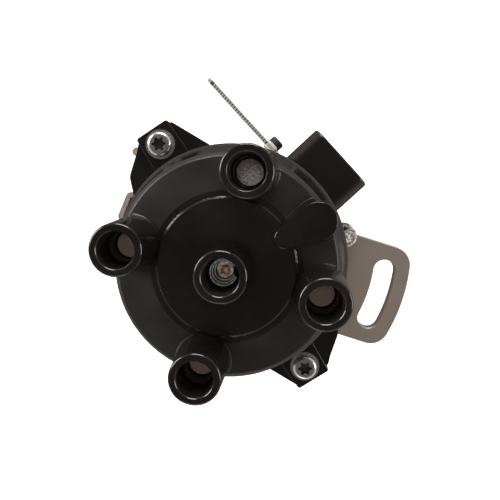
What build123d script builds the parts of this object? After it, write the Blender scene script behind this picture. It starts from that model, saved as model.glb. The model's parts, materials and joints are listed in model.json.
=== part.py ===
"""Ignition distributor for a four cylinder engine, driven from the end of the camshaft.

Frame: Z runs up the shaft towards the cap, the origin is the centre of the mounting face
(underside of the slotted ear), and X points along the middle of that ear. Millimetres.
"""
from build123d import *
from math import cos, pi, radians, sin, tan
import os

os.makedirs("parts", exist_ok=True)

# ---- Fits and gaps ----------------------------------------------------------
press_gap = 0.02  # radial, parts that are pressed together
running_gap = 0.05  # radial, parts that turn or slide on each other
free_gap = 0.3  # parts that only pass each other
seat_gap = 0.1  # moulded parts in cast windows

# ---- Housing: heights above the mounting face ------------------------------------
floor_z = 8.0  # inside of the bowl
floor_thick = 5.0
rib_angles = (88.0, 134.0, 180.0, 226.0, 272.0)  # stiffening ribs under the bowl
rib_thick = 2.4
rib_drop = 2.2
rim_z = 20.0
rim_lip = 3.5  # straight height of the rim flange
ledge_drop = 1.5  # the dust cover is sunk by this below the rim
bowl_radius = 41.5
bowl_wall = 3.5
rim_flange = 2.7  # rim outside the bowl's wall
bowl_chamfer = 4.0
pad_radius = 28.0  # round mounting pad under the bowl
pilot_radius = 15.0
pilot_length = 34.0
pilot_chamfer = 1.5

# ---- Mounting ear with its timing slot ----------------------------------------
ear_thick = 5.0
ear_land = 6.2  # metal outside the slot
ear_width = 43.6
ear_corner = 8.0
ear_edge = 0.6
ear_root_round = 5.0  # blend of the ear into the round pad
slot_radius = 63.4
slot_width = 9.0
slot_half_angle = 9.85
root_boss_side = 20.2
root_boss_radius = 4.6
root_boss_z = 12.0
root_boss_hole = (0.9, 3.5)  # radius, depth
root_boss_hole_at = (-1.3, 3.0)

# ---- Cap screws and ears ------------------------------------------------------
screw_out = 8.0  # cap screws from the rim
screw_angle = 140.3
screw_radius = 2.45
screw_head_radius = 4.75
screw_head_height = 3.2
screw_star = 5.5  # across the six lobes
screw_star_depth = 2.2
screw_grip = 9.0  # thread length in the housing lug
washer_radius = 5.75
washer_thick = 1.0
lug_foot_z = 9.0
lug_in = 1.2  # the lug is smaller than the cap's ear by this
pad_land = 6.9  # pad outside the screw
pad_width = 14.3
pad_height = 4.0  # above the wing
pad_corner = 1.0
pad_edge = 0.4
wing_thick = 3.0
wing_front = 1.2  # the wing stops short of the pad's front by this
wing_side = 0.8  # wing beside the pad
lobe_shoulder = (2.4, 2.4)  # cut corner between the pad and the lobe
lobe_root = 2.6  # the lobe widens by this at the skirt
wing_run_out = 15.6  # where the straight side meets the skirt
lobe_out = 5.0  # lobe of the wing outside the skirt
lobe_width = 18.2
lobe_corner = 5.0
nub_radius = 1.8
nub_out = 12.2  # from the rim
nub_side = 10.9

# ---- Cap --------------------------------------------------------------------
gasket_thick = 1.0
gasket_width = 3.0
cap_wall = 3.2
skirt_draft = 0.8
skirt_top_z = 42.0
step_width = 0.9
flank_in = 3.8  # the flank leans in by this
flank_top_z = 57.0
shoulder = 1.4  # bevel round the dome
dome_z = 59.0
dome_rise = 1.0
dome_thick = 4.0
plateau_land = 9.5  # plateau's edge from the tower circle
plateau_height = 0.8
cap_edge = 0.4  # rounding of the cap's small steps
shoulder_round = 0.9

tower_in = 4.7  # tower circle inside the dome's edge
tower_angle = 3.1
tower_count = 4
tower_base_radius = 9.4
tower_top_radius = 8.5
tower_top_z = 83.2
tower_lip = 0.9
tower_foot_z = 44.0
tower_flare = 1.5  # fillet at the foot
collar_radius = 9.9
collar_height = 1.2
collar_slope = 0.3
socket_mouth_radius = 6.0
socket_radius = 5.7
socket_step_depth = 12.0
socket_inner_radius = 5.0
socket_depth = 20.2
socket_edge = 0.25

teardrop_angle = 45.0
teardrop_in = 3.3  # middle of its big end inside the dome's edge
teardrop_big_radius = 6.6
teardrop_small = (22.3, 3.4)  # centre from the axis, radius
teardrop_z = 64.5
teardrop_taper = 1.5
plinth_margin = 1.4

# ---- High tension terminals ------------------------------------------------------
electrode_head_radius = 4.6
electrode_radius = 2.5
electrode_tip_z = 45.5
electrode_boss_radius = 5.0
electrode_boss_z = 50.0
cup_step_radii = (4.7, 4.1)
cup_step_depths = (11.5, 16.5, 21.2)
cup_floor_thick = 2.0
cup_notch = 2.6
cup_notch_angle = 22.0
cup_rivet_radius = 1.8
brush_radius = 2.5
brush_length = 7.0
brush_guide_radius = 5.0
brush_guide_z = 52.0
spring_wire = 0.5
spring_turns = 4

# ---- Rotor -------------------------------------------------------------------
rotor_foot_z = 20.6
rotor_hub_radius = 9.5
rotor_hub_z = 34.0
rotor_neck_radius = 7.5
rotor_arm_z = 43.0
rotor_arm_thick = 4.5
rotor_arm_half_width = 8.0
rotor_tail = 16.0
rotor_nose = 4.0  # the blade stands out of the moulding by this
rotor_blade_thick = 1.5
rotor_blade_width = 7.0
spark_gap = 0.8
rotor_screw_z = 28.0
rotor_screw_radius = 2.0

# ---- Shaft and bearings ---------------------------------------------------------
shaft_radius = 6.0
shaft_mid_radius = 5.0
shaft_top_radius = 4.0
shaft_mid_z = 20.0
shaft_top_z = 38.0
shaft_collar_radius = 7.0
shaft_collar_height = 1.4
shaft_flat = 3.2  # flat of the D from the axis

bearing_radius = 14.0
bearing_width = 8.0
outer_race_bore = 11.6
inner_race_radius = 8.4
ball_circle_radius = 10.0
ball_radius = 2.35
ball_count = 8
cage_band = 1.6
cage_height = 6.4
race_chamfer = 0.6

bush_radius = 8.0
bush_length = 14.0
seal_radius = 11.0
seal_height = 7.0
seal_wall = 1.6
seal_lip = 1.2
oring_z = -10.0
oring_section = 1.3
oring_proud = 0.3
oring_side_room = 0.5

# ---- Drive coupling ----------------------------------------------------------
washer_collar_radius = 9.5
washer_collar_thick = 0.9
coupling_radius = 12.0
coupling_height = 8.0
tang_height = 5.0
tang_thick = 4.5
tang_offset = 1.2
tang_gap = 10.0
coupling_pin_radius = 2.0
coupling_chamfer = 0.8

# ---- Retainer, base plate and pickup --------------------------------------------
retainer_bore = 10.2
retainer_radius = 17.0
retainer_thick = 1.5
retainer_screw_circle_radius = 20.0
retainer_angle = 30.0
small_screw_radius = 1.5
small_head_radius = 2.75
small_head_height = 1.9
small_grip = 4.0
plate_z = 12.0
plate_thick = 1.5
plate_room = 7.0  # between the plate and the bowl's wall
plate_bore = 9.5
plate_land = 3.0  # plate outside its screws
plate_screw_angles = (0.0, 115.0, 240.0)
boss_radius = 3.4
pickup_angle = 300.0
pickup_inner = 17.0
pickup_land = 2.0  # base plate outside the pickup
pickup_width = 14.0
pickup_top_z = 18.2
pickup_foot_width = 26.0
pickup_foot_thick = 1.5
pickup_screw_in = 2.4  # screws from the pickup's outer face
pickup_screw_spread = 10.0
pickup_grip = 6.0  # pickup outside the disc
disc_thick = 0.4
disc_z = 15.8
disc_room = 0.4
disc_slot_count = 24
disc_edge = 1.2  # metal outside the slots
disc_slot_length = 2.3
window_circle_radius = 14.5
window_width = 3.0
window_count = 4
spacer_radius = 8.0
spacer_top_z = 19.5

cover_ledge = 2.2  # ledge under the cover's edge
cover_bore = 10.6
cover_rib = 1.0
cover_boss_in = 3.0  # screws from the bowl's wall
cover_screw_angles = (5.0, 115.0, 240.0)

# ---- Igniter and connector --------------------------------------------------------
igniter_room = 2.9  # between the module and the bowl's wall
igniter_length = 10.6
igniter_width = 21.0
igniter_height = 8.0
sink_thick = 1.0
sink_margin = 2.0
connector_angle = 60.0
connector_width = 29.6
connector_top_z = 24.0
connector_bottom_z = 8.0
connector_depth = 12.4  # shroud beyond its seal
connector_wall = 2.0
connector_back = 1.8
connector_corner = 5.0
connector_edge = 1.0
connector_cheek = 5.0  # the shroud wraps its seat by this
latch_size = (3.5, 8.0, 1.2)  # wedge under the shroud: length, width, height
latch_in = 1.5
key_size = (1.2, 1.0)  # guide ribs in the socket: width, height
key_spread = 7.0
connector_stand = 3.1  # seat outside the bowl's wall
connector_seal_thick = 0.8
neck_width = 21.8
neck_top_z = 15.9
neck_in = 5.5  # neck inside the bowl's wall
foot_length = 6.5
foot_land = 3.4
foot_thick = 2.0
foot_screw_spread = 7.0
pin_rows = (13.2, 18.8)
pin_pitch = 7.0
pin_columns = 3
pin_width = 2.2
pin_thick = 0.8
pin_length = 8.0

# ---- Vent and cable tie -----------------------------------------------------------
vent_angle = 60.0  # direction of the nipple
vent_bearing = 89.2  # where it leaves the bowl
vent_out = 4.1  # where the tie holds it, from the bowl's wall
vent_z = 8.0
nipple_radius = 1.6
nipple_in = 8.0
nipple_out = 3.2
vent_cap_radius = 2.9
vent_cap_in = 1.8
vent_cap_out = 4.6
tie_width = 2.4
tie_thick = 1.1
tie_head = (4.6, 3.2, 3.4)  # along the strap, above the cap, along the nipple
tie_lift = 0.3  # the tail leaves the loop by this
tie_tail = 38.0
tie_point = 7.0
tie_tip_width = 1.0

# ---- Housing lug on the left side ---------------------------------------------------
side_lug_angle = 174.0
side_lug_out = 6.2  # from the rim
side_lug_width = 12.6
side_lug_wall = 2.0
side_lug_foot_z = 6.0
side_lug_pocket = 5.0

# ---- Radii that follow -------------------------------------------------------------
bowl_inner = bowl_radius - bowl_wall
rim_radius = bowl_radius + rim_flange
ear_reach = slot_radius + slot_width / 2 + ear_land
root_boss_place = (bowl_radius, root_boss_side)
screw_circle_radius = rim_radius + screw_out
pad_reach = screw_circle_radius + pad_land
nub_place = (rim_radius + nub_out, nub_side)
lobe_reach = rim_radius + lobe_out
skirt_foot_radius = rim_radius
skirt_top_radius = skirt_foot_radius - skirt_draft
wing_root = skirt_top_radius - step_width
flank_top_radius = skirt_top_radius - flank_in
dome_radius = flank_top_radius - shoulder
side_lug_reach = rim_radius + side_lug_out
tower_circle_radius = dome_radius - tower_in
plateau_radius = tower_circle_radius - plateau_land
teardrop_big = (dome_radius - teardrop_in, teardrop_big_radius)
plate_radius = bowl_inner - plate_room
pickup_outer = plate_radius - pickup_land
pickup_screw_out = pickup_outer - pickup_screw_in
disc_radius = pickup_outer - pickup_grip
disc_slot = (disc_radius - disc_edge - disc_slot_length, disc_radius - disc_edge)
plate_screw_circle_radius = plate_radius - plate_land
plate_chord = plate_radius - plate_room
cover_radius = bowl_inner + cover_ledge
cover_screw_circle_radius = bowl_inner - cover_boss_in
igniter_inner = bowl_inner - igniter_room - igniter_length
connector_seat = bowl_radius + connector_stand
seat_half = connector_width / 2 - connector_wall
connector_back_out = connector_seat + connector_seal_thick
connector_reach = connector_back_out + connector_depth
neck_inner = bowl_inner - neck_in
foot_inner = neck_inner - foot_length
foot_screw_circle_radius = foot_inner + foot_land

# ---- Heights that follow -----------------------------------------------------------
cap_base_z = rim_z + gasket_thick
wing_top_z = cap_base_z + wing_thick
pad_top_z = wing_top_z + pad_height
ledge_z = rim_z - ledge_drop
plateau_z = dome_z + dome_rise + plateau_height
ceiling_z = dome_z + dome_rise - dome_thick
socket_floor_z = tower_top_z - socket_depth
electrode_seat_z = plateau_z
cup_floor_z = tower_top_z - cup_step_depths[2]
cup_seat_z = cup_floor_z - cup_floor_thick
blade_z = rotor_arm_z + rotor_arm_thick
blade_top_z = blade_z + rotor_blade_thick
blade_tip = tower_circle_radius - electrode_radius - spark_gap
brush_foot_z = blade_top_z + running_gap
brush_top_z = brush_foot_z + brush_length
seal_foot_z = floor_z - bearing_width - seal_height
washer_top_z = -pilot_length - seat_gap
coupling_top_z = washer_top_z - washer_collar_thick
coupling_foot_z = coupling_top_z - coupling_height
coupling_pin_z = coupling_top_z - coupling_height / 2
bearing_foot_z = floor_z - bearing_width
bearing_mid_z = floor_z - bearing_width / 2


# ---- Helpers -----------------------------------------------------------------
def rod(radius, low, high):
    """Upright cylinder between two heights."""
    return Pos(0, 0, low) * Cylinder(radius, high - low, align=(Align.CENTER, Align.CENTER, Align.MIN))


def ring(outer, inner, low, high):
    """Upright tube between two heights."""
    return rod(outer, low, high) - rod(inner, low - 1, high + 1)


def cone(foot_radius, top_radius, low, high):
    """Upright tapered round between two heights."""
    body = Cone(foot_radius, top_radius, high - low, align=(Align.CENTER, Align.CENTER, Align.MIN))
    return Pos(0, 0, low) * body


def block(x_range, y_range, z_range):
    """Box between three pairs of limits."""
    size = [high - low for low, high in (x_range, y_range, z_range)]
    middle = [(low + high) / 2 for low, high in (x_range, y_range, z_range)]
    return Pos(*middle) * Box(*size)


def turned(*points):
    """Solid turned about Z from (radius, height) corners."""
    return revolve(make_face(Plane.XZ * Polyline(*points, close=True)), Axis.Z)


def soft_turned(points, rounds):
    """Turned solid; rounds gives the rounding of each (radius, height) corner named in it."""
    face = make_face(Plane.XZ * Polyline(*points, close=True))
    for (radius, height), rounding in rounds.items():
        corner = [v for v in face.vertices() if abs(v.X - radius) + abs(v.Z - height) < 0.001]
        face = fillet(corner, rounding)
    return revolve(face, Axis.Z)


def flat(*points):
    """Flat outline through (x, y) corners, given anticlockwise."""
    return make_face(Polyline(*points, close=True))


def plate(sketch, low, high, taper=0.0):
    """Flat sketch raised between two heights."""
    return extrude(Pos(0, 0, low) * sketch, high - low, dir=(0, 0, 1), taper=taper)


def around(shape, angle):
    """The shape turned about the shaft."""
    return Rot(0, 0, angle) * shape


def at_polar(radius, angle):
    """Place on a circle about the shaft."""
    return Pos(radius * cos(radians(angle)), radius * sin(radians(angle)), 0)


def tower_angles():
    return [tower_angle + 360 / tower_count * index for index in range(tower_count)]


def pan_screw(radius, head_radius, head_height, seat_z, length):
    """Pan head screw without its recess, standing on seat_z."""
    head = rod(head_radius, seat_z, seat_z + head_height)
    head = fillet(head.edges().group_by(Axis.Z)[-1], head_height * 0.45)
    return head + rod(radius, seat_z - length, seat_z)


def small_screw(seat_z, grip=small_grip):
    """Small pan head screw with a cross recess."""
    screw = pan_screw(small_screw_radius, small_head_radius, small_head_height, seat_z, grip)
    top = seat_z + small_head_height
    arm, slit = small_head_radius * 0.55, small_head_radius * 0.13
    cross = Rectangle(2 * arm, 2 * slit) + Rectangle(2 * slit, 2 * arm)
    return screw - plate(cross, top - small_head_height * 0.6, top + 1)


def six_lobes(across):
    """Plan of a six lobed recess."""
    outline = Circle(across * 0.36)
    for index in range(6):
        outline += Rot(0, 0, 60 * index) * Pos(across * 0.4, 0) * Circle(across * 0.1)
    return outline


# ---- Housing -----------------------------------------------------------------
def mounting_ear():
    """Flat ear with the arc slot that sets the timing."""
    outline = Pos(ear_reach / 2, 0) * Rectangle(ear_reach, ear_width) & Circle(ear_reach)
    outline = fillet(outline.vertices().group_by(Axis.X)[-1], ear_corner)
    outline += Circle(pad_radius)
    roots = [v for v in outline.vertices() if abs(v.Y) > ear_width / 2 - 0.01 and 0 < v.X < pad_radius]
    outline = fillet(roots, ear_root_round)
    slot = SlotArc(CenterArc((0, 0), slot_radius, -slot_half_angle, 2 * slot_half_angle), slot_width)
    ear = plate(outline - slot, 0, ear_thick)
    return chamfer(ear.edges().filter_by(Plane.XY).group_by(Axis.Z)[-1], ear_edge / 2)


def lug_outline():
    """Plan of the housing lug under a cap ear, screw on +X."""
    reach, half, root = pad_reach - lug_in, pad_width / 2 - lug_in / 2, bowl_inner + bowl_wall / 2
    return flat((root, -half - lug_in), (reach, -half), (reach, half),
                (nub_place[0] - lug_in, nub_place[1] - lug_in / 2), (root, lobe_width - lug_in))


def cap_lug():
    """Tapped lug under a cap ear."""
    lug = plate(lug_outline(), lug_foot_z, cap_base_z)
    lug -= rod(rim_radius + seat_gap, rim_z, cap_base_z + 1)
    thread_foot = cap_base_z - screw_grip - 1
    return lug - Pos(screw_circle_radius, 0) * rod(screw_radius + press_gap, thread_foot, cap_base_z + 1)


def side_lug():
    """Square lug on the wall with a pocket behind its outer face."""
    half = side_lug_width / 2
    lug = block((bowl_inner + 1, side_lug_reach), (-half, half), (side_lug_foot_z, rim_z - 0.5))
    lug = fillet(lug.edges().filter_by(Axis.Z).group_by(Axis.X)[-1], 2.0)
    pocket = (rim_radius + 1.2, side_lug_reach - side_lug_wall)
    return lug - block(pocket, (-half + side_lug_wall, half - side_lug_wall), (rim_z - side_lug_pocket, rim_z))


def connector_window():
    """Hole in the wall for the neck of the connector."""
    half = neck_width / 2 + seat_gap
    low = floor_z + foot_thick - seat_gap
    return block((neck_inner, connector_seat + 1), (-half, half), (low, neck_top_z + seat_gap))


def housing():
    slope = rim_radius - bowl_radius
    body = turned((0, -pilot_length), (pilot_radius - pilot_chamfer, -pilot_length),
                  (pilot_radius, -pilot_length + pilot_chamfer), (pilot_radius, 0), (pad_radius, 0),
                  (pad_radius, floor_z - floor_thick), (bowl_radius - bowl_chamfer, floor_z - floor_thick),
                  (bowl_radius, floor_z - floor_thick + bowl_chamfer),
                  (bowl_radius, rim_z - rim_lip - slope), (rim_radius, rim_z - rim_lip),
                  (rim_radius, rim_z), (0, rim_z))
    body += mounting_ear() + root_boss()
    for angle in rib_angles:
        body += around(under_rib(), angle)
    for turn in (0, 180):
        body += around(cap_lug(), screw_angle + turn)
    body += around(Pos(*nub_place) * rod(nub_radius, lug_foot_z, rim_z), screw_angle)
    body += around(side_lug(), side_lug_angle)
    seat = block((bowl_inner + 1, connector_seat), (-seat_half, seat_half), (side_lug_foot_z, rim_z))
    body += around(seat, connector_angle)
    body -= rod(bowl_inner, floor_z, rim_z + 1)
    body -= rod(cover_radius + free_gap, ledge_z, rim_z + 1)
    for angle in cover_screw_angles:
        body += at_polar(cover_screw_circle_radius, angle) * rod(boss_radius, floor_z, ledge_z)
    for angle in plate_screw_angles:
        body += at_polar(plate_screw_circle_radius, angle) * rod(boss_radius, floor_z, plate_z)
    body -= around(connector_window(), connector_angle)
    body -= rod(bearing_radius + press_gap, bearing_foot_z, floor_z + 1)
    body -= rod(seal_radius + press_gap, seal_foot_z, floor_z)
    body -= rod(shaft_radius + 1.0, -pilot_length - 1, floor_z)
    body -= rod(bush_radius + press_gap, -pilot_length - 1, -pilot_length + bush_length)
    body -= oring_groove()
    body -= screw_holes()
    body -= vent_hole()
    return body - Pos(*root_boss_place) * Pos(*root_boss_hole_at) * rod(
        root_boss_hole[0], root_boss_z - root_boss_hole[1], root_boss_z + 1)


def root_boss():
    boss = cone(root_boss_radius + 0.4, root_boss_radius, 0, root_boss_z)
    return Pos(*root_boss_place) * chamfer(boss.edges().group_by(Axis.Z)[-1], ear_edge)


def under_rib():
    """Rib from the round pad to the bowl's lower edge."""
    low, high = floor_z - floor_thick - rib_drop, floor_z - floor_thick
    foot = bowl_radius - bowl_chamfer
    side = flat((pad_radius - 1, low), (foot - rib_drop, low), (foot, high + 0.5), (pad_radius - 1, high + 0.5))
    return extrude(Plane.XZ * side, rib_thick / 2, both=True)


def oring_groove():
    half = oring_section + oring_side_room
    floor = pilot_radius + oring_proud - 2 * oring_section
    return ring(pilot_radius + 1, floor, oring_z - half, oring_z + half)


def screw_holes():
    """Tapped holes for the small screws inside the bowl."""
    hole = small_screw_radius + press_gap
    cuts = Part()
    for angle in cover_screw_angles:
        cuts += at_polar(cover_screw_circle_radius, angle) * rod(hole, ledge_z - small_grip - 1, ledge_z + 1)
    for angle in plate_screw_angles:
        cuts += at_polar(plate_screw_circle_radius, angle) * rod(hole, plate_z - small_grip - 1, plate_z + 1)
    for place in retainer_places() + igniter_places() + foot_places():
        cuts += place * rod(hole, floor_z - small_grip, floor_z + 1)
    return cuts


def oring():
    centre = pilot_radius + oring_proud - oring_section
    return Pos(0, 0, oring_z) * Torus(centre, oring_section - press_gap)


# ---- Cap ---------------------------------------------------------------------
def cap_ear():
    """Wing with a lobe, and the raised pad that the screw stands on."""
    half = pad_width / 2
    root = skirt_top_radius - cap_wall
    front, side = pad_reach - wing_front, half + wing_side
    shoulder_x, shoulder_y = lobe_shoulder
    wing = flat((root, -wing_run_out), (wing_root, -wing_run_out), (front, -side), (front, side),
                (front - shoulder_x, side + shoulder_y), (lobe_reach, lobe_width),
                (wing_root, lobe_width + lobe_root), (root, lobe_width + lobe_root))
    wing = fillet([v for v in wing.vertices() if abs(v.X - lobe_reach) < 0.01], lobe_corner)
    wing = plate(wing, cap_base_z, wing_top_z)
    pad = flat((root, -side), (pad_reach, -half), (pad_reach, half), (root, side))
    pad = plate(fillet(pad.vertices().group_by(Axis.X)[-1], pad_corner), cap_base_z, pad_top_z)
    pad = fillet(pad.edges().group_by(Axis.Z)[-1], pad_edge)
    return chamfer(wing.edges().group_by(Axis.Z)[-1], pad_edge / 2) + pad


def cap_shell():
    """Outer form of the cap: skirt, step, flank, dome and plateau."""
    skirt_top, step = (skirt_top_radius, skirt_top_z), (skirt_top_radius - step_width, skirt_top_z + step_width)
    flank_top, dome_edge = (flank_top_radius, flank_top_z), (dome_radius, dome_z)
    plateau_foot = (plateau_radius + plateau_height / 2, dome_z + dome_rise)
    plateau_top = (plateau_radius, plateau_z)
    outline = [(0, cap_base_z), (skirt_foot_radius, cap_base_z), skirt_top, step, flank_top, dome_edge,
               plateau_foot, plateau_top, (0, plateau_z)]
    return soft_turned(outline, {skirt_top: cap_edge, flank_top: shoulder_round, dome_edge: shoulder_round,
                                 plateau_foot: cap_edge, plateau_top: cap_edge})


def cap_cavity():
    """Room inside the cap."""
    return turned((0, cap_base_z - 1), (skirt_foot_radius - cap_wall, cap_base_z - 1),
                  (skirt_top_radius - cap_wall, skirt_top_z),
                  (flank_top_radius - cap_wall, ceiling_z - 3), (flank_top_radius - cap_wall - 3, ceiling_z),
                  (0, ceiling_z))


def tower_radius(height):
    """Outside of a tower at a height: it tapers evenly up to its lip."""
    slope = (tower_base_radius - tower_top_radius) / (tower_top_z - dome_z)
    return tower_top_radius + slope * (tower_top_z - height)


def tower_foot(low):
    """Lower end of a tower, up to the level of the plateau."""
    return cone(tower_radius(low), tower_radius(plateau_z), low, plateau_z)


def foot_fillet():
    """Hollow fillet between a tower and the dome."""
    radius, top = tower_radius(dome_z), dome_z + tower_flare
    flare = ring(radius + tower_flare, radius - 1, dome_z - dome_rise, top)
    return flare - Pos(0, 0, top) * Torus(radius + tower_flare, tower_flare)


def tower_tube():
    """Tower above the plateau, with its socket: tapered mouth, a step, and the narrow end."""
    step_z = tower_top_z - socket_step_depth
    tube = cone(tower_radius(plateau_z), tower_top_radius, plateau_z, tower_top_z)
    tube = fillet(tube.edges().group_by(Axis.Z)[-1], tower_lip)
    tube -= cone(socket_radius, socket_mouth_radius, step_z, tower_top_z)
    tube -= rod(socket_inner_radius, plateau_z, step_z)
    mouth = tube.edges().filter_by(GeomType.CIRCLE).group_by(Axis.Z)[-1].sort_by(SortBy.RADIUS)[0]
    return chamfer(mouth, socket_edge)


def teardrop(margin=0.0):
    """Plan of the teardrop boss along +X."""
    big_x, big_r = teardrop_big
    small_x, small_r = teardrop_small
    ends = Pos(big_x, 0) * Circle(big_r + margin) + Pos(small_x, 0) * Circle(small_r + margin)
    tilt = (big_r - small_r) / (big_x - small_x)
    rise = (1 - tilt * tilt) ** 0.5
    small_x, small_y = small_x - (small_r + margin) * tilt, (small_r + margin) * rise
    big_x, big_y = big_x - (big_r + margin) * tilt, (big_r + margin) * rise
    return ends + flat((small_x, -small_y), (big_x, -big_y), (big_x, big_y), (small_x, small_y))


def distributor_cap():
    cap = cap_shell()
    for angle in tower_angles():
        place = at_polar(tower_circle_radius, angle)
        cap += place * tower_foot(tower_foot_z)
        cap += place * foot_fillet() & rod(dome_radius - shoulder_round, ceiling_z, plateau_z)
    height = teardrop_z - tower_foot_z
    boss = plate(teardrop(height * tan(radians(teardrop_taper))), tower_foot_z, teardrop_z, teardrop_taper)
    boss = fillet(boss.edges().group_by(Axis.Z)[-1], cap_edge)
    plinth = plate(teardrop(plinth_margin) & Circle(dome_radius), ceiling_z, plateau_z)
    cap += around(boss + chamfer(plinth.edges().group_by(Axis.Z)[-1], cap_edge / 2), teardrop_angle)
    for turn in (0, 180):
        cap += around(cap_ear(), screw_angle + turn)
    cap -= cap_cavity()
    for angle in tower_angles():
        cap += at_polar(tower_circle_radius, angle) * rod(electrode_boss_radius, electrode_boss_z, ceiling_z + 1)
    cap += rod(brush_guide_radius, brush_guide_z, ceiling_z + 1)
    for angle in tower_angles():
        cap -= at_polar(tower_circle_radius, angle) * rod(electrode_radius + press_gap, electrode_boss_z - 1,
                                                   plateau_z + 1)
    cap -= rod(socket_inner_radius, cup_seat_z, plateau_z + 1)
    cap -= rod(brush_radius + running_gap, brush_guide_z - 1, cup_seat_z + 1)
    for turn in (0, 180):
        cap -= around(Pos(screw_circle_radius, 0) * rod(screw_radius + free_gap, cap_base_z - 1, pad_top_z + 1),
                      screw_angle + turn)
    return cap


def spark_towers():
    return Compound(children=[at_polar(tower_circle_radius, angle) * tower_tube() for angle in tower_angles()])


def coil_tower():
    """Middle tower, with a collar round its foot."""
    collar = cone(collar_radius, collar_radius - collar_slope, plateau_z, plateau_z + collar_height)
    return tower_tube() + (collar - rod(tower_top_radius, plateau_z - 1, plateau_z + collar_height + 1))


def side_electrodes():
    """Four stepped pins, one under each outer tower."""
    pin = rod(electrode_head_radius, electrode_seat_z, socket_floor_z)
    pin = chamfer(pin.edges().group_by(Axis.Z)[-1], 0.3)
    pin += rod(electrode_radius, electrode_tip_z, electrode_seat_z)
    return Compound(children=[at_polar(tower_circle_radius, angle) * pin for angle in tower_angles()])


def centre_terminal():
    """Metal cup with two inner steps and a notch on one side."""
    tops = [tower_top_z - depth for depth in cup_step_depths]
    cup = rod(socket_inner_radius - press_gap, cup_seat_z, tops[0])
    for radius, low, high in zip(cup_step_radii, tops[1:], tops):
        cup -= rod(radius, low, high + 1)
    notch = block((0, socket_inner_radius), (-cup_notch / 2, cup_notch / 2), (tops[2], tops[0] + 1))
    cup -= around(notch, cup_notch_angle)
    return cup + cone(cup_rivet_radius, cup_rivet_radius - 0.3, cup_floor_z - 0.2, cup_floor_z + 1.0)


def carbon_brush():
    return fillet(rod(brush_radius, brush_foot_z, brush_top_z).edges().group_by(Axis.Z)[0], 0.4)


def brush_spring():
    """Coil spring between the brush and the terminal."""
    height = cup_seat_z - brush_top_z - spring_wire
    coil_radius = brush_radius - spring_wire / 2 - 0.25
    path = Helix(height / spring_turns, height, coil_radius)
    wire = Plane(path @ 0, z_dir=path % 0) * Circle(spring_wire / 2)
    return Pos(0, 0, brush_top_z + spring_wire / 2) * sweep(wire, path, is_frenet=True)


def cap_screw():
    """Pan head screw with a six lobed recess."""
    seat = pad_top_z + washer_thick
    top = seat + screw_head_height
    screw = pan_screw(screw_radius, screw_head_radius, screw_head_height, seat,
                      seat - cap_base_z + screw_grip)
    return screw - plate(six_lobes(screw_star), top - screw_star_depth, top + 1)


def cap_gasket():
    return ring(rim_radius, rim_radius - gasket_width, rim_z, cap_base_z)


# ---- Rotor -------------------------------------------------------------------
def shaft_bore():
    """D-shaped bore for the shaft end."""
    bore = rod(shaft_top_radius + press_gap, rotor_foot_z - 1, shaft_top_z + 1)
    return bore - block((shaft_flat + press_gap, 9), (-9, 9), (rotor_foot_z, shaft_top_z + 2))


def rotor_arm():
    half = rotor_arm_half_width
    arm = Circle(rotor_hub_radius) + Pos(-rotor_tail / 2, 0) * Rectangle(rotor_tail, 2 * half)
    tip_half = rotor_blade_width / 2 + 0.8
    nose_end = blade_tip - rotor_nose
    nose = flat((0, -half), (nose_end, -tip_half), (nose_end, tip_half), (0, half))
    rotor = plate(arm + nose, rotor_arm_z, blade_z)
    rotor += cone(rotor_neck_radius, rotor_hub_radius - 0.5, rotor_hub_z, rotor_arm_z + 0.1)
    rotor += rod(rotor_hub_radius, rotor_foot_z, rotor_hub_z)
    rotor += block((-rotor_tail + 2, -2), (-1.2, 1.2), (rotor_hub_z, rotor_arm_z))
    rotor -= shaft_bore()
    return rotor - rotor_screw_hole()


def rotor_screw_hole():
    reach = rotor_hub_radius + 1
    hole = Cylinder(rotor_screw_radius + press_gap, reach - shaft_flat)
    return Pos((reach + shaft_flat) / 2, 0, rotor_screw_z) * Rot(0, 90, 0) * hole


def rotor_screw():
    """Screw through the hub onto the flat of the shaft."""
    length = rotor_hub_radius - 0.6 - shaft_flat
    screw = Cylinder(rotor_screw_radius, length)
    screw -= Pos(0, 0, length / 2) * Box(0.8, 3 * rotor_screw_radius, 1.6)
    return Pos(shaft_flat + length / 2, 0, rotor_screw_z) * Rot(0, 90, 0) * screw


def rotor_blade():
    """Brass strip from the centre contact to the spark gap."""
    half = rotor_blade_width / 2
    strip = Pos((blade_tip - 5) / 2, 0) * Rectangle(blade_tip + 5, rotor_blade_width)
    strip = fillet(strip.vertices().group_by(Axis.X)[0], half * 0.9)
    return plate(strip & Circle(blade_tip), blade_z, blade_top_z)


# ---- Shaft and bearings ----------------------------------------------------------
def shaft():
    body = turned((0, coupling_foot_z), (shaft_radius - 0.5, coupling_foot_z),
                  (shaft_radius, coupling_foot_z + 0.5), (shaft_radius, floor_z),
                  (shaft_collar_radius, floor_z), (shaft_collar_radius, floor_z + shaft_collar_height),
                  (shaft_mid_radius, floor_z + shaft_collar_height), (shaft_mid_radius, shaft_mid_z),
                  (shaft_top_radius, shaft_mid_z), (shaft_top_radius, shaft_top_z - 0.5),
                  (shaft_top_radius - 0.5, shaft_top_z), (0, shaft_top_z))
    body -= block((shaft_flat, 9), (-9, 9), (rotor_foot_z, shaft_top_z + 1))
    return body - coupling_pin_hole()


def coupling_pin_hole():
    hole = Cylinder(coupling_pin_radius + press_gap, 3 * coupling_radius)
    return Pos(0, 0, coupling_pin_z) * Rot(0, 90, 0) * hole


def coupling_pin():
    pin = Cylinder(coupling_pin_radius, 2 * coupling_radius - 1.0)
    pin = chamfer(pin.edges(), 0.3)
    return Pos(0, 0, coupling_pin_z) * Rot(0, 90, 0) * pin


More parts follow.
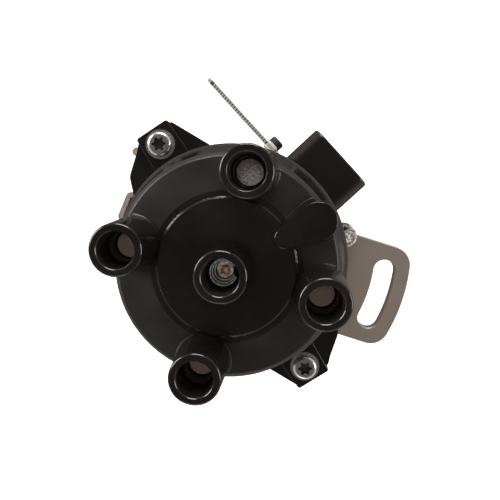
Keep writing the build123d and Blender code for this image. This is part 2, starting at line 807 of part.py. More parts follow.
def drive_coupling():
    """Collar with two tangs set off centre, so that it engages one way only."""
    collar = rod(coupling_radius, coupling_foot_z, coupling_top_z)
    collar = chamfer(collar.edges().group_by(Axis.Z)[-1], coupling_chamfer)
    collar -= rod(shaft_radius + press_gap, coupling_foot_z - 1, coupling_top_z + 1)
    side = tang_offset - tang_thick / 2
    tangs = Part()
    for low, high in ((-coupling_radius - 1, -tang_gap / 2), (tang_gap / 2, coupling_radius + 1)):
        tangs += block((low, high), (side, side + tang_thick),
                       (coupling_foot_z - tang_height, coupling_foot_z + 0.5))
    tangs &= cone(coupling_radius - 1.2, coupling_radius, coupling_foot_z - tang_height, coupling_foot_z + 0.5)
    tangs -= rod(shaft_radius + press_gap, coupling_foot_z - tang_height - 1, coupling_foot_z + 1)
    return collar + tangs - coupling_pin_hole()


def thrust_washer():
    return ring(washer_collar_radius, shaft_radius + press_gap, coupling_top_z, washer_top_z)


def ball_groove():
    return Pos(0, 0, bearing_mid_z) * Torus(ball_circle_radius, ball_radius + 2 * running_gap)


def race(outer, inner):
    """Bearing ring with its corners broken and its ball groove."""
    blank = ring(outer, inner, bearing_foot_z, floor_z)
    return chamfer(blank.edges(), race_chamfer) - ball_groove()


def bearing_outer_race():
    return race(bearing_radius, outer_race_bore)


def bearing_inner_race():
    return race(inner_race_radius, shaft_radius + press_gap)


def ball_places():
    return [at_polar(ball_circle_radius, 360 / ball_count * index) * Pos(0, 0, bearing_mid_z)
            for index in range(ball_count)]


def bearing_balls():
    return Compound(children=[place * Sphere(ball_radius) for place in ball_places()])


def bearing_cage():
    half = cage_height / 2
    cage = ring(ball_circle_radius + cage_band / 2, ball_circle_radius - cage_band / 2,
                bearing_mid_z - half, bearing_mid_z + half)
    pocket = Rot(0, 90, 0) * Cylinder(ball_radius + running_gap, 4 * cage_band)
    for index in range(ball_count):
        cage -= around(Pos(ball_circle_radius, 0, bearing_mid_z) * pocket, 360 / ball_count * index)
    return cage


def lower_bush():
    return ring(bush_radius, shaft_radius + running_gap, -pilot_length, -pilot_length + bush_length)


def oil_seal():
    """Rubber seal with a metal case outline and a lip on the shaft."""
    top_z, lip_r = floor_z - bearing_width - seat_gap, shaft_radius + running_gap
    case_r, foot_z = seal_radius, seal_foot_z
    return turned((case_r, foot_z), (case_r, top_z), (lip_r + seal_lip + 0.8, top_z),
                  (lip_r + seal_lip + 0.8, top_z - seal_wall), (case_r - seal_wall, top_z - seal_wall),
                  (case_r - seal_wall, foot_z + seal_wall), (lip_r + seal_lip, foot_z + seal_wall),
                  (lip_r + seal_lip, foot_z + 3.4), (lip_r, foot_z + 2.4), (lip_r + 0.5, foot_z))


# ---- Bearing retainer, base plate, pickup -----------------------------------------
def retainer_places():
    return [at_polar(retainer_screw_circle_radius, retainer_angle + turn) for turn in (0, 180)]


def bearing_retainer():
    outline = Circle(retainer_radius)
    for place in retainer_places():
        outline += place * Circle(small_head_radius + 0.8)
    outline -= Circle(retainer_bore)
    for place in retainer_places():
        outline -= place * Circle(small_screw_radius + seat_gap)
    return plate(outline, floor_z, floor_z + retainer_thick)


def retainer_screws():
    screw = small_screw(floor_z + retainer_thick, small_grip + retainer_thick - 0.5)
    return Compound(children=[place * screw for place in retainer_places()])


def pickup_places():
    turn = Rot(0, 0, pickup_angle)
    return [turn * Pos(pickup_screw_out, side * pickup_screw_spread) for side in (-1, 1)]


def plate_places():
    return [at_polar(plate_screw_circle_radius, angle) for angle in plate_screw_angles]


def base_plate():
    outline = Circle(plate_radius) - Circle(plate_bore)
    for angle in (180, connector_angle):
        far = Pos(plate_chord + plate_radius, 0) * Rectangle(2 * plate_radius, 3 * plate_radius)
        outline -= Rot(0, 0, angle) * far
    for place in plate_places() + pickup_places():
        outline -= place * Circle(small_screw_radius + seat_gap)
    return plate(outline, plate_z, plate_z + plate_thick)


def base_plate_screws():
    screw = small_screw(plate_z + plate_thick, small_grip + plate_thick)
    return Compound(children=[place * screw for place in plate_places()])


def pickup_unit():
    """Optical pickup: a block slotted for the disc, on a foot with two holes."""
    half, foot_half = pickup_width / 2, pickup_foot_width / 2
    seat = plate_z + plate_thick
    unit = block((pickup_inner, pickup_outer), (-half, half), (seat, pickup_top_z))
    unit = fillet(unit.edges().filter_by(Axis.Z), 1.2)
    unit += block((disc_radius + 1.0, pickup_outer - 0.5), (-foot_half, foot_half),
                  (seat, seat + pickup_foot_thick))
    unit -= rod(disc_radius + 1.2, disc_z - disc_room, disc_z + disc_thick + disc_room)
    for side in (-1, 1):
        unit -= Pos(pickup_screw_out, side * pickup_screw_spread) * rod(
            small_screw_radius + seat_gap, seat - 1, seat + pickup_foot_thick + 1)
    return around(unit, pickup_angle)


def pickup_screws():
    screw = small_screw(plate_z + plate_thick + pickup_foot_thick, pickup_foot_thick + plate_thick)
    return Compound(children=[place * screw for place in pickup_places()])


def sensor_disc():
    """Thin steel disc: fine slots at the edge and one window for each cylinder."""
    outline = Circle(disc_radius) - Circle(shaft_mid_radius + press_gap)
    inner, outer = disc_slot
    middle = (inner + outer) / 2
    slot = Pos(middle, 0) * Rectangle(outer - inner, pi * middle / disc_slot_count)
    for index in range(disc_slot_count):
        outline -= Rot(0, 0, 360 / disc_slot_count * index) * slot
    window = Pos(window_circle_radius, 0) * Rectangle(window_width, window_width * 1.6)
    for index in range(window_count):
        outline -= Rot(0, 0, 360 / window_count * (index + 0.5)) * window
    return plate(outline, disc_z, disc_z + disc_thick)


def disc_spacers():
    bore = shaft_mid_radius + press_gap
    low = ring(spacer_radius, bore, floor_z + shaft_collar_height, disc_z)
    high = ring(spacer_radius, bore, disc_z + disc_thick, spacer_top_z)
    return Compound(children=[low, high])


def cover_places():
    return [at_polar(cover_screw_circle_radius, angle) for angle in cover_screw_angles]


def dust_cover():
    outline = Circle(cover_radius) - Circle(cover_bore)
    for place in cover_places():
        outline -= place * Circle(small_screw_radius + seat_gap)
    cover = plate(outline, ledge_z, rim_z)
    return cover + ring(cover_radius - 1, cover_radius - 1 - cover_rib, rim_z - 0.1, rim_z + cover_rib)


def dust_cover_screws():
    screw = small_screw(rim_z, small_grip + ledge_drop)
    return Compound(children=[place * screw for place in cover_places()])


# ---- Igniter and connector -----------------------------------------------------------
def igniter_places():
    turn = Rot(0, 0, 180)
    spread = igniter_width / 2 - small_head_radius
    middle = igniter_inner + igniter_length / 2
    return [turn * Pos(middle, side * spread) for side in (-1, 1)]


def igniter_module():
    half, seat = igniter_width / 2, floor_z + sink_thick
    module = block((igniter_inner, igniter_inner + igniter_length), (-half, half), (seat, seat + 3))
    body_half = half - 2 * small_head_radius - 0.4
    module += block((igniter_inner, igniter_inner + igniter_length), (-body_half, body_half),
                    (seat, seat + igniter_height))
    module = around(module, 180)
    for place in igniter_places():
        module -= place * rod(small_screw_radius + seat_gap, seat - 1, seat + 4)
    return module


def heat_sink():
    half = igniter_width / 2 + sink_margin / 2
    outline = Pos(igniter_inner + igniter_length / 2, 0) * Rectangle(igniter_length + 1, 2 * half)
    outline &= Circle(bowl_inner - free_gap)
    sink = around(plate(outline, floor_z, floor_z + sink_thick), 180)
    for place in igniter_places():
        sink -= place * rod(small_screw_radius + seat_gap, floor_z - 1, floor_z + 3)
    return sink


def igniter_screws():
    screw = small_screw(floor_z + sink_thick + 3, small_grip + sink_thick + 2.5)
    return Compound(children=[place * screw for place in igniter_places()])


def foot_places():
    turn = Rot(0, 0, connector_angle)
    return [turn * Pos(foot_screw_circle_radius, side * foot_screw_spread) for side in (-1, 1)]


def rounded_bar(x_range, half_width, z_range, corner):
    """Bar along X with rounded long edges."""
    bar = block(x_range, (-half_width, half_width), z_range)
    return fillet(bar.edges().filter_by(Axis.X), corner)


def connector_housing():
    """Moulded socket, open outwards, that wraps its seat, with a neck and foot inside the bowl."""
    back = connector_back_out
    half = connector_width / 2
    shroud = rounded_bar((back - connector_cheek, connector_reach), half, (connector_bottom_z, connector_top_z),
                         connector_corner)
    shroud = fillet(shroud.edges().group_by(Axis.X)[-1], connector_edge)
    room = seat_half + seat_gap
    shroud -= block((back - connector_cheek - 1, back), (-room, room), (0, rim_z + seat_gap))
    shroud -= rod(rim_radius + free_gap, 0, connector_top_z + 1)
    shroud -= rounded_bar((back + connector_back, connector_reach + 1), half - connector_wall,
                          (connector_bottom_z + connector_wall, connector_top_z - connector_wall),
                          connector_corner - connector_wall)
    shroud += latch_and_keys()
    neck_half = neck_width / 2
    shroud += block((neck_inner, back), (-neck_half, neck_half), (floor_z + foot_thick, neck_top_z))
    foot = block((foot_inner, neck_inner + 2), (-neck_half, neck_half), (floor_z, floor_z + foot_thick))
    shroud += foot + block((neck_inner, neck_inner + 2), (-neck_half, neck_half),
                           (floor_z + foot_thick - 0.1, neck_top_z))
    shroud = around(shroud, connector_angle)
    for place in foot_places():
        shroud -= place * rod(small_screw_radius + seat_gap, floor_z - 1, floor_z + foot_thick + 1)
    return shroud


def latch_and_keys():
    """Wedge that holds the plug, under the shroud, and two guide ribs inside it."""
    length, width, height = latch_size
    end = connector_reach - latch_in
    wedge = flat((end - length, -height), (end, 0), (end - length, 0))
    wedge = Pos(0, 0, connector_bottom_z) * extrude(Plane.XZ * wedge, width / 2, both=True)
    key_half, key_height = key_size[0] / 2, key_size[1]
    floor = connector_bottom_z + connector_wall
    for side in (-1, 1):
        wedge += block((connector_back_out + connector_back, end),
                       (side * key_spread - key_half, side * key_spread + key_half),
                       (floor - 0.1, floor + key_height))
    return wedge


def connector_seal():
    half, low, high = seat_half - seat_gap, connector_bottom_z + 1.0, rim_z - 1.0
    hole = neck_width / 2 + free_gap
    seal = block((connector_seat, connector_seat + connector_seal_thick), (-half, half), (low, high))
    seal -= block((connector_seat - 1, connector_seat + 2), (-hole, hole),
                  (floor_z + foot_thick - free_gap, neck_top_z + free_gap))
    return around(seal, connector_angle)


def connector_pins():
    back = connector_back_out + connector_back
    half_width, half_thick = pin_width / 2, pin_thick / 2
    pins = []
    for row in pin_rows:
        for column in range(pin_columns):
            across = (column - (pin_columns - 1) / 2) * pin_pitch
            pin = block((back, back + pin_length), (across - half_width, across + half_width),
                        (row - half_thick, row + half_thick))
            pins.append(around(pin, connector_angle))
    return Compound(children=pins)


def connector_screws():
    screw = small_screw(floor_z + foot_thick, small_grip + foot_thick - 0.5)
    return Compound(children=[place * screw for place in foot_places()])


# ---- Vent nipple, its rubber cap and the cable tie ------------------------------------
def along_vent(shape):
    """Local Z of the shape is laid along the nipple."""
    place = at_polar(bowl_radius + vent_out, vent_bearing) * Pos(0, 0, vent_z)
    return place * Rot(0, 0, vent_angle) * Rot(0, 90, 0) * shape


def vent_nipple():
    return along_vent(ring(nipple_radius, nipple_radius - 0.6, -nipple_in, nipple_out))


def vent_hole():
    return along_vent(rod(nipple_radius + press_gap, -nipple_in - 3, 0))


def vent_cap():
    cap = rod(vent_cap_radius, -vent_cap_in, vent_cap_out)
    cap = fillet(cap.edges().group_by(Axis.Z)[-1], 1.0)
    return along_vent(cap - rod(nipple_radius + press_gap, -vent_cap_in - 1, nipple_out + press_gap))


def cable_tie():
    """Loop round the vent cap, the head, and the straight tail with its point."""
    half = tie_width / 2
    inner = vent_cap_radius + press_gap
    loop = ring(inner + tie_thick, inner, -half, half)
    length, height, width = tie_head
    head = block((-inner - height, -inner - tie_lift), (-length / 2, length / 2), (-width / 2, width / 2))
    end, tip = tie_tail, tie_tip_width / 2
    strap = flat((0, -half), (end - tie_point, -half), (end, -tip), (end, tip), (end - tie_point, half),
                 (0, half))
    tail = Pos(-inner - tie_lift - tie_thick, 0, 0) * extrude(Plane.YZ * strap, tie_thick)
    return along_vent(loop + head + tail)


# ---- Output ------------------------------------------------------------------
def pair(shape):
    """The shape at both cap screws."""
    return Compound(children=[around(Pos(screw_circle_radius, 0) * shape, screw_angle + turn) for turn in (0, 180)])


nodes = {
    "housing": housing(),
    "o_ring": oring(),
    "distributor_cap": distributor_cap(),
    "spark_towers": spark_towers(),
    "coil_tower": coil_tower(),
    "side_electrodes": side_electrodes(),
    "centre_terminal": centre_terminal(),
    "carbon_brush": carbon_brush(),
    "brush_spring": brush_spring(),
    "cap_screws": pair(cap_screw()),
    "cap_washers": pair(ring(washer_radius, screw_radius + seat_gap, pad_top_z, pad_top_z + washer_thick)),
    "cap_gasket": cap_gasket(),
    "rotor_arm": around(rotor_arm(), tower_angle),
    "rotor_screw": around(rotor_screw(), tower_angle),
    "rotor_blade": around(rotor_blade(), tower_angle),
    "shaft": around(shaft(), tower_angle),
    "coupling_pin": around(coupling_pin(), tower_angle),
    "drive_coupling": around(drive_coupling(), tower_angle),
    "thrust_washer": thrust_washer(),
    "bearing_outer_race": bearing_outer_race(),
    "bearing_inner_race": bearing_inner_race(),
    "bearing_balls": bearing_balls(),
    "bearing_cage": bearing_cage(),
    "lower_bush": lower_bush(),
    "oil_seal": oil_seal(),
    "bearing_retainer": bearing_retainer(),
    "retainer_screws": retainer_screws(),
    "base_plate": base_plate(),
    "base_plate_screws": base_plate_screws(),
    "pickup_unit": pickup_unit(),
    "pickup_screws": pickup_screws(),
    "sensor_disc": sensor_disc(),
    "disc_spacers": disc_spacers(),
    "dust_cover": dust_cover(),
    "dust_cover_screws": dust_cover_screws(),
    "igniter_module": igniter_module(),
    "heat_sink": heat_sink(),
    "igniter_screws": igniter_screws(),
    "connector_housing": connector_housing(),
    "connector_seal": connector_seal(),
    "connector_pins": connector_pins(),
    "connector_screws": connector_screws(),
    "vent_nipple": vent_nipple(),
    "vent_cap": vent_cap(),
    "cable_tie": cable_tie(),
}

for name, shape in nodes.items():
    export_step(shape, f"parts/{name}.step")
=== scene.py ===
import bpy
import bmesh
import json
from math import cos, pi, radians, sin
from mathutils import Matrix, Vector


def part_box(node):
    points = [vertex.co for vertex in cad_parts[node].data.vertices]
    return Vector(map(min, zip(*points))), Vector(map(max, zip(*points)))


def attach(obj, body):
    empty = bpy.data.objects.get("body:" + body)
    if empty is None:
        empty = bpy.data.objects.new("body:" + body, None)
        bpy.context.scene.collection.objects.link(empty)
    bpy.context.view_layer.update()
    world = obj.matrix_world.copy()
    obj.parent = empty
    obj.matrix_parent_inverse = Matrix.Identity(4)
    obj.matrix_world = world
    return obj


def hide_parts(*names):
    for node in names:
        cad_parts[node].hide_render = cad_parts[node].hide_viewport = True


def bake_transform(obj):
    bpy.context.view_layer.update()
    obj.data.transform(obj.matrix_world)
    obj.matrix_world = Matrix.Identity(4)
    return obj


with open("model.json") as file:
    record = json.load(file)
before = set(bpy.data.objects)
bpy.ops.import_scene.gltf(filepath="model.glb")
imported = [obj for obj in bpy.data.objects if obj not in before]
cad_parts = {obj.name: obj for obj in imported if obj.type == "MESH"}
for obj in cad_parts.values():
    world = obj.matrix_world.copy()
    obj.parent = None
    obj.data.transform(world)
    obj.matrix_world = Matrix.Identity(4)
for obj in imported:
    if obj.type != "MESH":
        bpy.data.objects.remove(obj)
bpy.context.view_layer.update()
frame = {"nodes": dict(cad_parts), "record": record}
nodes = frame["nodes"]
mm = 0.001
towerPlaces = [Vector(mount["pos_m"]) for mount in frame["record"]["mounts"] if "tower" in mount["name"]]
print("frame loaded:", len(nodes), "nodes")


def linearColour(hexCode):
    def channel(pair):
        value = int(pair, 16) / 255
        return value / 12.92 if value <= 0.04045 else ((value + 0.055) / 1.055) ** 2.4
    return tuple(channel(hexCode[start:start + 2]) for start in (1, 3, 5)) + (1.0,)


def scaleFor(sizeInMm):
    return 1 / (sizeInMm * mm)  # a noise of scale 1 has patches about a metre across


def addNode(tree, kind, inputs=None, **settings):
    node = tree.nodes.new(kind)
    for key, value in settings.items():
        setattr(node, key, value)
    for key, value in (inputs or {}).items():
        if isinstance(value, bpy.types.NodeSocket):
            tree.links.new(value, node.inputs[key])
        else:
            node.inputs[key].default_value = value
    return node


def newMaterial(name, **shaderInputs):
    material = bpy.data.materials.new(name)
    material.use_nodes = True
    tree = material.node_tree
    shader = tree.nodes["Principled BSDF"]
    for key, value in shaderInputs.items():
        shader.inputs[key.replace("_", " ")].default_value = value
    place = addNode(tree, "ShaderNodeTexCoord").outputs["Object"]
    return material, tree, shader, place


def plugInto(tree, shader, colour=None, rough=None, relief=None):
    for socket, name in ((colour, "Base Color"), (rough, "Roughness"), (relief, "Normal")):
        if socket:
            tree.links.new(socket, shader.inputs[name])


def linkedObject(name, mesh):
    piece = bpy.data.objects.new(name, mesh)
    bpy.context.scene.collection.objects.link(piece)
    return piece


def smoothByAngle(mesh, degrees):
    for face in mesh.polygons:
        face.use_smooth = True
    mesh.set_sharp_from_angle(angle=radians(degrees))


def evenShading(piece):
    leveller = piece.modifiers.new("evenNormals", "WEIGHTED_NORMAL")
    leveller.keep_sharp = True
    leveller.weight = 80  # 50 is neutral; above it the broad faces count for more


def finished(name, piece, material, body, replaced):
    piece.name = name
    piece.data.name = name
    piece.data.materials.clear()
    piece.data.materials.append(material)
    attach(piece, body)
    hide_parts(replaced)


# finishes, one for each slot of the record

capSettings = {
    "flowPatch": 16, "grainPatch": 0.6, "dustShare": 0.3,  # sizes in mm
    "domeFrom": 26.2, "domeFull": 26.8,  # mm from the axis
    "domeHeight": 59.0, "domeHalfHeight": 1.9,
    "polished": 0.15, "matt": 0.44,  # roughness
    # on the next line, the painted shade in the sockets: its reach, tone and roughness
    "socketShadeWithin": 6.05, "socketShadeTone": "#080606", "socketShadeRoughness": 0.5,  # mm from a tower's axis
}


def mouldedPhenolic():
    # compression moulded phenolic: black and glossy, with flow marks in the gloss and a little dust
    material, tree, shader, place = newMaterial("mouldedPhenolic", IOR=1.55)
    flow = addNode(tree, "ShaderNodeTexNoise",
                   {"Vector": place, "Scale": scaleFor(capSettings["flowPatch"]), "Detail": 3}).outputs["Fac"]
    # filler grain is about 0.1 mm, drawn at 0.6 mm so that it shows
    grain = addNode(tree, "ShaderNodeTexNoise",
                    {"Vector": place, "Scale": scaleFor(capSettings["grainPatch"]),
                     "Detail": 2}).outputs["Fac"]
    tone = addNode(tree, "ShaderNodeMapRange", {"Value": flow, "From Min": 0.35, "From Max": 0.7}).outputs[0]
    colour = addNode(tree, "ShaderNodeMix", {0: tone, 6: linearColour("#0e0c0c"), 7: linearColour("#151312")},
                     data_type="RGBA").outputs[2]
    dust = addNode(tree, "ShaderNodeMapRange", {"Value": grain, "From Min": 0.7, "From Max": 0.82,
                                                "To Max": capSettings["dustShare"]}).outputs[0]
    colour = addNode(tree, "ShaderNodeMix", {0: dust, 6: colour, 7: linearColour("#5f5a55")},
                     data_type="RGBA").outputs[2]
    # the die was polished over the plateau, towers and ears, and left matt over the dome between them
    axes = addNode(tree, "ShaderNodeSeparateXYZ", {"Vector": place}).outputs
    level = addNode(tree, "ShaderNodeVectorMath", {0: place, 1: (1, 1, 0)}, operation="MULTIPLY").outputs[0]
    fromAxis = addNode(tree, "ShaderNodeVectorMath", {0: level}, operation="LENGTH").outputs["Value"]
    outside = addNode(tree, "ShaderNodeMapRange",
                      {"Value": fromAxis, "From Min": capSettings["domeFrom"] * mm,
                       "From Max": capSettings["domeFull"] * mm}).outputs[0]
    onDome = addNode(tree, "ShaderNodeMath",
                     {0: axes["Z"], 1: capSettings["domeHeight"] * mm, 2: capSettings["domeHalfHeight"] * mm},
                     operation="COMPARE").outputs[0]
    matt = addNode(tree, "ShaderNodeMath", {0: outside, 1: onDome}, operation="MULTIPLY").outputs[0]
    base = addNode(tree, "ShaderNodeMapRange",
                   {"Value": matt, "To Min": capSettings["polished"],
                    "To Max": capSettings["matt"]}).outputs[0]
    drift = addNode(tree, "ShaderNodeMapRange", {"Value": flow, "From Min": 0.3, "From Max": 0.7,
                                                 "To Min": -0.04, "To Max": 0.05}).outputs[0]
    gloss = addNode(tree, "ShaderNodeMath", {0: base, 1: drift}, operation="ADD").outputs[0]
    # painted shade down in the sockets: near a tower's axis the colour is darkened and the gloss dulled
    nearest = None
    for tower in towerPlaces:
        axis = (tower.x, tower.y, 0)
        apart = addNode(tree, "ShaderNodeVectorMath",
                        {0: level, 1: axis}, operation="DISTANCE").outputs["Value"]
        nearest = apart if nearest is None else addNode(tree, "ShaderNodeMath", {0: nearest, 1: apart},
                                                        operation="MINIMUM").outputs[0]
    inSocketShade = addNode(tree, "ShaderNodeMath", {0: nearest, 1: capSettings["socketShadeWithin"] * mm},
                    operation="LESS_THAN").outputs[0]
    colour = addNode(tree, "ShaderNodeMix", {0: inSocketShade, 6: colour, 7: linearColour(capSettings["socketShadeTone"])},
                     data_type="RGBA").outputs[2]
    gloss = addNode(tree, "ShaderNodeMix", {0: inSocketShade, 2: gloss, 3: capSettings["socketShadeRoughness"]}).outputs[0]
    relief = addNode(tree, "ShaderNodeBump",
                     {"Height": grain, "Strength": 0.05, "Distance": 0.3 * mm}).outputs[0]
    plugInto(tree, shader, colour, gloss, relief)
    return material


castSettings = {
    "bossMiddle": (41.5, 20.5, 12.0), "asCastFrom": 8.6, "asCastFull": 8.0, "ragged": 5.0,  # mm
    "gritPatch": 0.4, "cloudPatch": 11, "skinPatch": 0.9,
}


def blastedAluminium():
    # die cast aluminium, bead blasted: even dull grey with a fine grit; the boss by the ear is left as cast
    material, tree, shader, place = newMaterial("blastedAluminium", Metallic=1.0)
    # shot marks are about 0.15 mm, drawn at 0.4 mm
    grit = addNode(tree, "ShaderNodeTexNoise",
                   {"Vector": place, "Scale": scaleFor(castSettings["gritPatch"]),
                    "Detail": 3}).outputs["Fac"]
    cloud = addNode(tree, "ShaderNodeTexNoise",
                    {"Vector": place, "Scale": scaleFor(castSettings["cloudPatch"]),
                     "Detail": 4}).outputs["Fac"]
    skin = addNode(tree, "ShaderNodeTexNoise",
                   {"Vector": place, "Scale": scaleFor(castSettings["skinPatch"]),
                    "Detail": 5}).outputs["Fac"]
    boss = Vector(castSettings["bossMiddle"]) * mm
    apart = addNode(tree, "ShaderNodeVectorMath", {0: place, 1: boss}, operation="DISTANCE").outputs["Value"]
    ragged = addNode(tree, "ShaderNodeMath", {0: skin, 1: castSettings["ragged"] * mm, 2: apart},
                     operation="MULTIPLY_ADD").outputs[0]
    asCast = addNode(tree, "ShaderNodeMapRange",
                     {"Value": ragged, "From Min": castSettings["asCastFrom"] * mm,
                      "From Max": castSettings["asCastFull"] * mm}).outputs[0]
    colour = addNode(tree, "ShaderNodeMix",
                     {0: cloud, 6: linearColour("#b1a9a1"), 7: linearColour("#9f988f")},
                     data_type="RGBA").outputs[2]
    fleck = addNode(tree, "ShaderNodeMapRange", {"Value": skin, "From Min": 0.42, "From Max": 0.6}).outputs[0]
    bright = addNode(tree, "ShaderNodeMix",
                     {0: fleck, 6: linearColour("#8b8783"), 7: linearColour("#ffffff")},
                     data_type="RGBA").outputs[2]
    colour = addNode(tree, "ShaderNodeMix", {0: asCast, 6: colour, 7: bright}, data_type="RGBA").outputs[2]
    rough = addNode(tree, "ShaderNodeMapRange", {"Value": grit, "To Min": 0.46, "To Max": 0.64}).outputs[0]
    height = addNode(tree, "ShaderNodeMix", {0: asCast, 2: grit, 3: skin}).outputs[0]
    push = addNode(tree, "ShaderNodeMapRange", {"Value": asCast, "To Min": 0.2, "To Max": 1.0}).outputs[0]
    relief = addNode(tree, "ShaderNodeBump",
                     {"Height": height, "Strength": push, "Distance": 0.5 * mm}).outputs[0]
    plugInto(tree, shader, colour, rough, relief)
    return material


screwSettings = {"headRadius": 4.75, "recessShadeWithin": 3.1, "recessShadeDepth": 0.9}  # mm


def zincPlate():
    # steel, zinc plated and passivated: bright, with faint cloudy patches, and painted shade down in the cap
    # screws' recesses
    material, tree, shader, place = newMaterial("zincPlate", Metallic=1.0)
    cloud = addNode(tree, "ShaderNodeTexNoise",
                    {"Vector": place, "Scale": scaleFor(2.2), "Detail": 3}).outputs["Fac"]
    colour = addNode(tree, "ShaderNodeMix",
                     {0: cloud, 6: linearColour("#f1f2f3"), 7: linearColour("#c6c7c9")},
                     data_type="RGBA").outputs[2]
    (lowX, lowY, _), (highX, highY, top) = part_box("cap_screws")
    head, within = screwSettings["headRadius"] * mm, screwSettings["recessShadeWithin"] * mm
    level = addNode(tree, "ShaderNodeVectorMath", {0: place, 1: (1, 1, 0)}, operation="MULTIPLY").outputs[0]
    apart = []
    for axis in (Vector((lowX + head, highY - head, 0)), Vector((highX - head, lowY + head, 0))):
        apart.append(addNode(tree, "ShaderNodeVectorMath",
                             {0: level, 1: axis}, operation="DISTANCE").outputs["Value"])
    nearest = addNode(tree, "ShaderNodeMath", {0: apart[0], 1: apart[1]}, operation="MINIMUM").outputs[0]
    # painted shade: near each screw's axis and below the head's top, the colour turns dark
    inside = addNode(tree, "ShaderNodeMath", {0: nearest, 1: within}, operation="LESS_THAN").outputs[0]
    height = addNode(tree, "ShaderNodeSeparateXYZ", {"Vector": place}).outputs["Z"]
    sunk = addNode(tree, "ShaderNodeMath", {0: height, 1: top - screwSettings["recessShadeDepth"] * mm},
                   operation="LESS_THAN").outputs[0]
    recessShade = addNode(tree, "ShaderNodeMath", {0: inside, 1: sunk}, operation="MULTIPLY").outputs[0]
    recessShadeTone = addNode(tree, "ShaderNodeMix", {0: cloud, 6: linearColour("#312f2d"), 7: linearColour("#8f8c88")},
                   data_type="RGBA").outputs[2]
    colour = addNode(tree, "ShaderNodeMix", {0: recessShade, 6: colour, 7: recessShadeTone}, data_type="RGBA").outputs[2]
    rough = addNode(tree, "ShaderNodeMapRange", {"Value": cloud, "To Min": 0.16, "To Max": 0.34}).outputs[0]
    relief = addNode(tree, "ShaderNodeBump",
                     {"Height": cloud, "Strength": 0.1, "Distance": 0.2 * mm}).outputs[0]
    plugInto(tree, shader, colour, rough, relief)
    return material


def groundSteel():
    # bearing and shaft steel, cylindrically ground: fine marks round the axis
    material, tree, shader, place = newMaterial("groundSteel", Metallic=1.0)
    # grinding marks are about 0.05 mm apart, drawn at 0.35 mm
    marks = addNode(tree, "ShaderNodeTexWave",
                    {"Vector": place, "Scale": scaleFor(0.35) / 3, "Distortion": 1.5, "Detail": 3},
                    bands_direction="Z").outputs["Fac"]
    colour = addNode(tree, "ShaderNodeMix",
                     {0: marks, 6: linearColour("#a5a4a2"), 7: linearColour("#878683")},
                     data_type="RGBA").outputs[2]
    rough = addNode(tree, "ShaderNodeMapRange", {"Value": marks, "To Min": 0.24, "To Max": 0.4}).outputs[0]
    plugInto(tree, shader, colour, rough)
    return material


def glassFilledNylon():
    # black nylon with glass fibre, injection moulded: satin, with a fine speckle at the skin
    material, tree, shader, place = newMaterial("glassFilledNylon", IOR=1.53)
    # fibre ends are about 0.02 mm, drawn at 0.5 mm
    fibre = addNode(tree, "ShaderNodeTexNoise",
                    {"Vector": place, "Scale": scaleFor(0.5), "Detail": 4}).outputs["Fac"]
    colour = addNode(tree, "ShaderNodeMix",
                     {0: fibre, 6: linearColour("#0b0909"), 7: linearColour("#110e0e")},
                     data_type="RGBA").outputs[2]
    rough = addNode(tree, "ShaderNodeMapRange", {"Value": fibre, "To Min": 0.18, "To Max": 0.28}).outputs[0]
    relief = addNode(tree, "ShaderNodeBump",
                     {"Height": fibre, "Strength": 0.08, "Distance": 0.2 * mm}).outputs[0]
    plugInto(tree, shader, colour, rough, relief)
    return material


def nitrileRubber():
    # moulded nitrile rubber: black and dull, with a soft bloom
    material, tree, shader, place = newMaterial("nitrileRubber", IOR=1.52, Roughness=0.7)
    bloom = addNode(tree, "ShaderNodeTexNoise",
                    {"Vector": place, "Scale": scaleFor(1.8), "Detail": 4}).outputs["Fac"]
    colour = addNode(tree, "ShaderNodeMix",
                     {0: bloom, 6: linearColour("#121111"), 7: linearColour("#232120")},
                     data_type="RGBA").outputs[2]
    relief = addNode(tree, "ShaderNodeBump",
                     {"Height": bloom, "Strength": 0.15, "Distance": 0.3 * mm}).outputs[0]
    plugInto(tree, shader, colour, relief=relief)
    return material


def naturalNylon():
    # uncoloured nylon, injection moulded: milky, and light passes a little way in
    material, tree, shader, place = newMaterial("naturalNylon", IOR=1.53, Roughness=0.36,
                                                Subsurface_Weight=0.3, Subsurface_Scale=0.6 * mm)
    cloud = addNode(tree, "ShaderNodeTexNoise",
                    {"Vector": place, "Scale": scaleFor(1.4), "Detail": 3}).outputs["Fac"]
    colour = addNode(tree, "ShaderNodeMix",
                     {0: cloud, 6: linearColour("#dddcd6"), 7: linearColour("#bdbcb4")},
                     data_type="RGBA").outputs[2]
    plugInto(tree, shader, colour)
    return material


# the cable tie, in mm and degrees: its nylon and, further down, its shape both read these

tieSettings = {
    "centre": (45.6, 89.2, 8.0),  # loop's middle: radius, bearing in degrees, height
    "axisBearing": 60.0,  # the loop's axis lies level at this bearing
    "loopRadius": 3.47, "width": 2.1, "thick": 1.1,
    "tailHeight": 11.77, "tailLength": 37.8, "pointLength": 1.6, "pointWidth": 1.2,
    "rail": 0.36, "channelDepth": 0.4, "tailStart": 0.4,
    "toothPitch": 1.28, "toothLength": 0.75, "toothHeight": 0.42, "toothTilt": 14.0, "firstTooth": 3.6,
    "toothSink": 0.08,
    "head": (4.6, 3.4, 2.9), "headRound": 0.5, "headRise": 0.9,
    # on the next line, the painted shade in the ladder: where it is full and where it is none
    "ladderShadeFull": 0.34, "ladderShadeNone": 0.12,  # from the crest down
    "ladderDepth": 0.5, "ladderMargin": 0.02,
    "loopSteps": 40, "smoothAngle": 35,
}


def tieFrame():
    # local x along the tail, y along the loop's axis, z up
    radius, bearing, height = tieSettings["centre"]
    along = radians(tieSettings["axisBearing"] + 90)
    across = radians(tieSettings["axisBearing"])
    origin = Vector((radius * cos(radians(bearing)), radius * sin(radians(bearing)), height))
    return Matrix(((cos(along), cos(across), 0, origin.x), (sin(along), sin(across), 0, origin.y),
                   (0, 0, 1, origin.z), (0, 0, 0, 1)))


